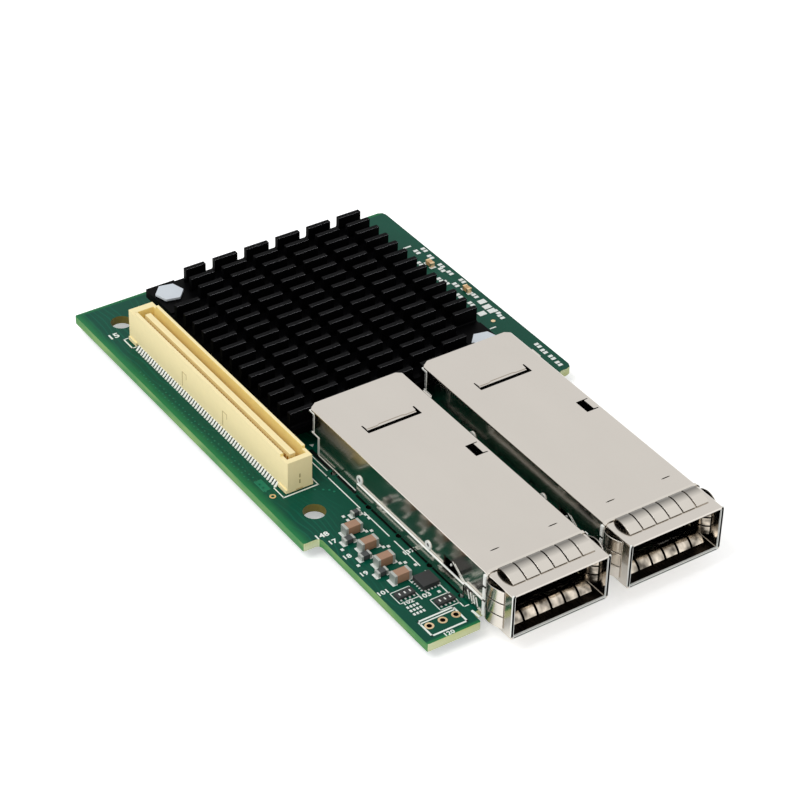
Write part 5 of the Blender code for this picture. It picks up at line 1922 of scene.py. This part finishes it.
    def loop(self, grow: float) -> list[Point]:
        """Rounded outline of the cage's section, grown by a distance."""
        radius = self.sheet + self.bend + grow
        low_x, high_x = self.across[0] - grow, self.across[1] + grow
        low_z, high_z = self.up[0] - grow, self.up[1] + grow
        corners = ((high_x - radius, high_z - radius, 0.0), (low_x + radius, high_z - radius, 90.0),
                   (low_x + radius, low_z + radius, 180.0), (high_x - radius, low_z + radius, 270.0))
        steps = 4
        points = []
        for x, z, start in corners:
            for step in range(steps + 1):
                turn = math.radians(start + 90.0 * step / steps)
                points.append((x + radius * math.cos(turn), z + radius * math.sin(turn)))
        return points


def weigh_normals(piece: bpy.types.Object) -> None:
    """Let large flat faces lead the shading."""
    modifier = piece.modifiers.new("weighted_normals", "WEIGHTED_NORMAL")
    modifier.keep_sharp = True


@dataclass(frozen=True)
class TwoEnded:
    """Make of a small part with a metal cap on each end.

    Attributes:
        name: Name of its nodes, without their numbers.
        body: Finish of the body.
        cap: Length of each cap.
        slot: Slot of the record, passed on to the piece, which does not use it.
        axis: 0 where its ends lie across, 1 where they lie along.
        cap_finish: Finish of the caps.
    """
    name: str
    body: Finish
    cap: float
    slot: str
    axis: int = 0
    cap_finish: Finish = Finishes.END_CAP


class PartKind(Enum):
    """Kinds of small two-ended part."""
    CAPACITOR = TwoEnded("capacitor_", Finishes.BROWN, 0.5, "capacitor_brown")
    INDUCTOR = TwoEnded("inductor_", Finishes.FERRITE, 0.4, "ferrite_grey")
    BEAD = TwoEnded("filter_bead", Finishes.FERRITE, 0.35, "ferrite_grey")
    TAN_CAPACITOR = TwoEnded("edge_capacitor_", Finishes.TAN, 0.35, "capacitor_brown", 1,
                             Finishes.RING)


@dataclass
class SmallParts:
    """Capacitors, inductors, chips and networks on the board.

    Attributes:
        card: Frame of the card.
        inset: How far the body lies inside the caps.
        pad_out: How far a pad reaches past the end of its part.
        pad_side: How far it reaches past the sides.
        pad_height: Height of its top.
        lead_half: Half of the width of a chip's pad.
    """
    card: CardFrame
    inset: float = 0.03
    pad_out: float = 0.45
    pad_side: float = 0.12
    pad_height: float = 0.09
    lead_half: float = 0.15

    def build(self) -> None:
        """Build the small parts."""
        for kind, numbers in ((PartKind.CAPACITOR, "1234"), (PartKind.INDUCTOR, "123"),
                              (PartKind.BEAD, ("",)), (PartKind.TAN_CAPACITOR, "12")):
            for number in numbers:
                self.two_ended(kind.value.name + number, kind.value)
        self.flat_chip("regulator_chip", 5, 5)
        for number in "12":
            self.flat_chip("resistor_network_" + number, 4, 0)

    def two_ended(self, node: str, make: TwoEnded) -> None:
        """Build a body with a metal cap on each end, soldered to two pads.

        Args:
            node: CAD node that it replaces.
            make: Make of the part.
        """
        spans = self.card.spans(node)
        low, high = spans[make.axis]
        other = 1 - make.axis
        side = spans[other]
        body = list(spans)
        body[make.axis] = (low + make.cap - 0.05, high - make.cap + 0.05)
        body[other] = (side[0] + self.inset, side[1] - self.inset)
        body[2] = (spans[2][0], spans[2][1] - self.inset)
        maker = Maker()
        maker.box(*body)
        maker.slot = 1
        for cap in ((low, low + make.cap), (high - make.cap, high)):
            end = list(spans)
            end[make.axis] = cap
            maker.box(*end)
        maker.slot = 2
        for pad in ((low - self.pad_out, low + make.cap), (high - make.cap, high + self.pad_out)):
            base = list(spans)
            base[make.axis] = pad
            base[other] = (side[0] - self.pad_side, side[1] + self.pad_side)
            base[2] = (0.0, self.pad_height)
            maker.box(*base)
        maker.piece(node + "_body", self.card, [make.body, make.cap_finish, Finishes.SOLDER],
                    [node], make.slot, edge=0.08)

    def flat_chip(self, node: str, across_pads: int, along_pads: int) -> None:
        """Build a flat chip with pads showing along its edges.

        Args:
            node: CAD node that it replaces.
            across_pads: Pads along its rear edge, and as many along its front edge.
            along_pads: Pads along its left edge, and as many along its right edge.
        """
        across, along, up = self.card.spans(node)
        maker = Maker()
        maker.box(across, along, up)
        maker.slot = 1
        for centre in self.shares(across, across_pads):
            for edge, out in ((along[0], -1), (along[1], 1)):
                maker.box(around(centre, self.lead_half), beside(edge, out, -0.2, 0.3),
                          (0.0, 0.12))
        for centre in self.shares(along, along_pads):
            for edge, out in ((across[0], -1), (across[1], 1)):
                maker.box(beside(edge, out, -0.2, 0.3), around(centre, self.lead_half),
                          (0.0, 0.12))
        if not along_pads:
            for share in (0.2, 0.5, 0.8):
                centre = across[0] + (across[1] - across[0]) * share
                maker.box(around(centre, 0.14), around(sum(along) / 2, 0.28),
                          (up[1] - 0.05, up[1] + 0.01))
        maker.piece(node + "_body", self.card, [Finishes.EPOXY, Finishes.SOLDER], [node],
                    "black_moulding", edge=0.05)

    @staticmethod
    def shares(span: Span, count: int) -> list[float]:
        """Middles of so many equal parts of a span."""
        return [span[0] + (span[1] - span[0]) * (index + 0.5) / count for index in range(count)]


@dataclass
class Studio:
    """White table, soft light and the photograph's camera.

    Attributes:
        camera_place: Camera's place in millimetres.
        heading: Way that the camera looks, in degrees to the right of straight ahead.
        tilt: Angle that it looks down by, in degrees.
        roll: Turn about its own axis, in degrees.
        lens: Focal length for a 36 mm wide picture.
        floor_size: Size of the table, in metres.
        floor_drop: How far the table lies below the card's lowest point, in metres.
        floor_lift: Glow of the table for the camera and for mirrors.
        world_light: Light from all round.
        lamps: Name, place, size and power of each lamp.
    """
    camera_place: Triple = (-215.38, -306.48, 279.78)
    heading: float = 34.949
    tilt: float = 36.106
    roll: float = 1.642
    lens: float = 119.59
    floor_size: float = 6.0
    floor_drop: float = 0.0003
    floor_lift: float = 0.42
    world_light: float = 0.62
    lamps: tuple[tuple[str, Triple, float, float], ...] = (
        ("key_light", (-0.75, 0.1, 1.1), 0.7, 7.0),
        ("fill_light", (-0.5, -1.0, 0.45), 0.6, 1.2))

    def build(self) -> None:
        """Make the camera, the floor, the lamps and the world."""
        self.camera()
        self.floor()
        self.world()
        for lamp in self.lamps:
            self.lamp(*lamp)

    def camera(self) -> None:
        """Place the camera."""
        data = bpy.data.cameras.new("photo_camera")
        data.sensor_width = 36.0
        data.lens = self.lens
        data.clip_start = 0.01
        data.clip_end = 20.0
        camera = bpy.data.objects.new("photo_camera", data)
        bpy.context.scene.collection.objects.link(camera)
        turn = Matrix.Rotation(math.radians(-self.heading), 4, "Z")
        look_down = Matrix.Rotation(math.radians(90.0 - self.tilt), 4, "X")
        roll = Matrix.Rotation(math.radians(self.roll), 4, "Z")
        place = Matrix.Translation(Vector(self.camera_place) * MM)
        camera.matrix_world = place @ turn @ look_down @ roll
        bpy.context.scene.camera = camera

    def floor(self) -> None:
        """Lay the white table, which keeps the card's shadow."""
        bm = bmesh.new()
        bmesh.ops.create_grid(bm, x_segments=1, y_segments=1, size=self.floor_size / 2)
        bmesh.ops.translate(bm, vec=(0.0, 0.0, -self.floor_drop), verts=bm.verts)
        mesh = bpy.data.meshes.new("floor")
        bm.to_mesh(mesh)
        bm.free()
        graph = Graph("white_table")
        graph.set("Base Color", (0.95, 0.95, 0.95))
        graph.set("Roughness", 0.9)
        graph.set("Specular IOR Level", 0.0)
        graph.set("Emission Color", (1.0, 1.0, 1.0))
        rays = graph.nodes.new("ShaderNodeLightPath")
        seen = graph.calc("MAXIMUM", rays.outputs["Is Camera Ray"], rays.outputs["Is Glossy Ray"])
        clear = graph.calc("MAXIMUM", seen, rays.outputs["Is Transmission Ray"])
        graph.set("Emission Strength", graph.calc("MULTIPLY", clear, self.floor_lift))
        mesh.materials.append(graph.material)
        floor = bpy.data.objects.new("floor", mesh)
        bpy.context.scene.collection.objects.link(floor)

    def world(self) -> None:
        """Light the card softly from all round, before a white background."""
        world = bpy.data.worlds.new("studio")
        bpy.context.scene.world = world
        world.use_nodes = True
        nodes = world.node_tree.nodes
        links = world.node_tree.links
        background = nodes["Background"]
        background.inputs["Color"].default_value = (1.0, 1.0, 1.0, 1.0)
        rays = nodes.new("ShaderNodeLightPath")
        seen = nodes.new("ShaderNodeMath")
        seen.operation = "MAXIMUM"
        links.new(rays.outputs["Is Camera Ray"], seen.inputs[0])
        links.new(rays.outputs["Is Glossy Ray"], seen.inputs[1])
        clear = nodes.new("ShaderNodeMath")
        clear.operation = "MAXIMUM"
        links.new(seen.outputs["Value"], clear.inputs[0])
        links.new(rays.outputs["Is Transmission Ray"], clear.inputs[1])
        level = nodes.new("ShaderNodeMapRange")
        level.inputs["To Min"].default_value = self.world_light
        level.inputs["To Max"].default_value = 1.0
        links.new(clear.outputs["Value"], level.inputs["Value"])
        links.new(level.outputs["Result"], background.inputs["Strength"])

    def lamp(self, name: str, place: Triple, size: float, power: float) -> None:
        """Hang one soft square lamp that points at the card.

        Args:
            name: Name of the lamp.
            place: Its place, in metres.
            size: Length of its sides, in metres.
            power: Its power, in watts.
        """
        data = bpy.data.lights.new(name, "AREA")
        data.size = size
        data.energy = power
        lamp = bpy.data.objects.new(name, data)
        bpy.context.scene.collection.objects.link(lamp)
        lamp.location = place
        lamp.rotation_mode = "QUATERNION"
        lamp.rotation_quaternion = (-Vector(place)).to_track_quat("-Z", "Y")


def main() -> None:
    """Load the frame, build each sub-assembly in order and light it."""
    logging.basicConfig(level=logging.INFO, format="%(message)s")
    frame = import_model()
    bpy.context.scene.view_settings.view_transform = "Standard"
    card = CardFrame.measured()
    Board(card).build(frame)
    Heatsink(card).build(frame)
    StackingConnector(card).build()
    for side in ("left", "right"):
        PortCage(card, side).build(frame)
    SmallParts(card).build()
    Studio().build()


if __name__ == "__main__":
    main()
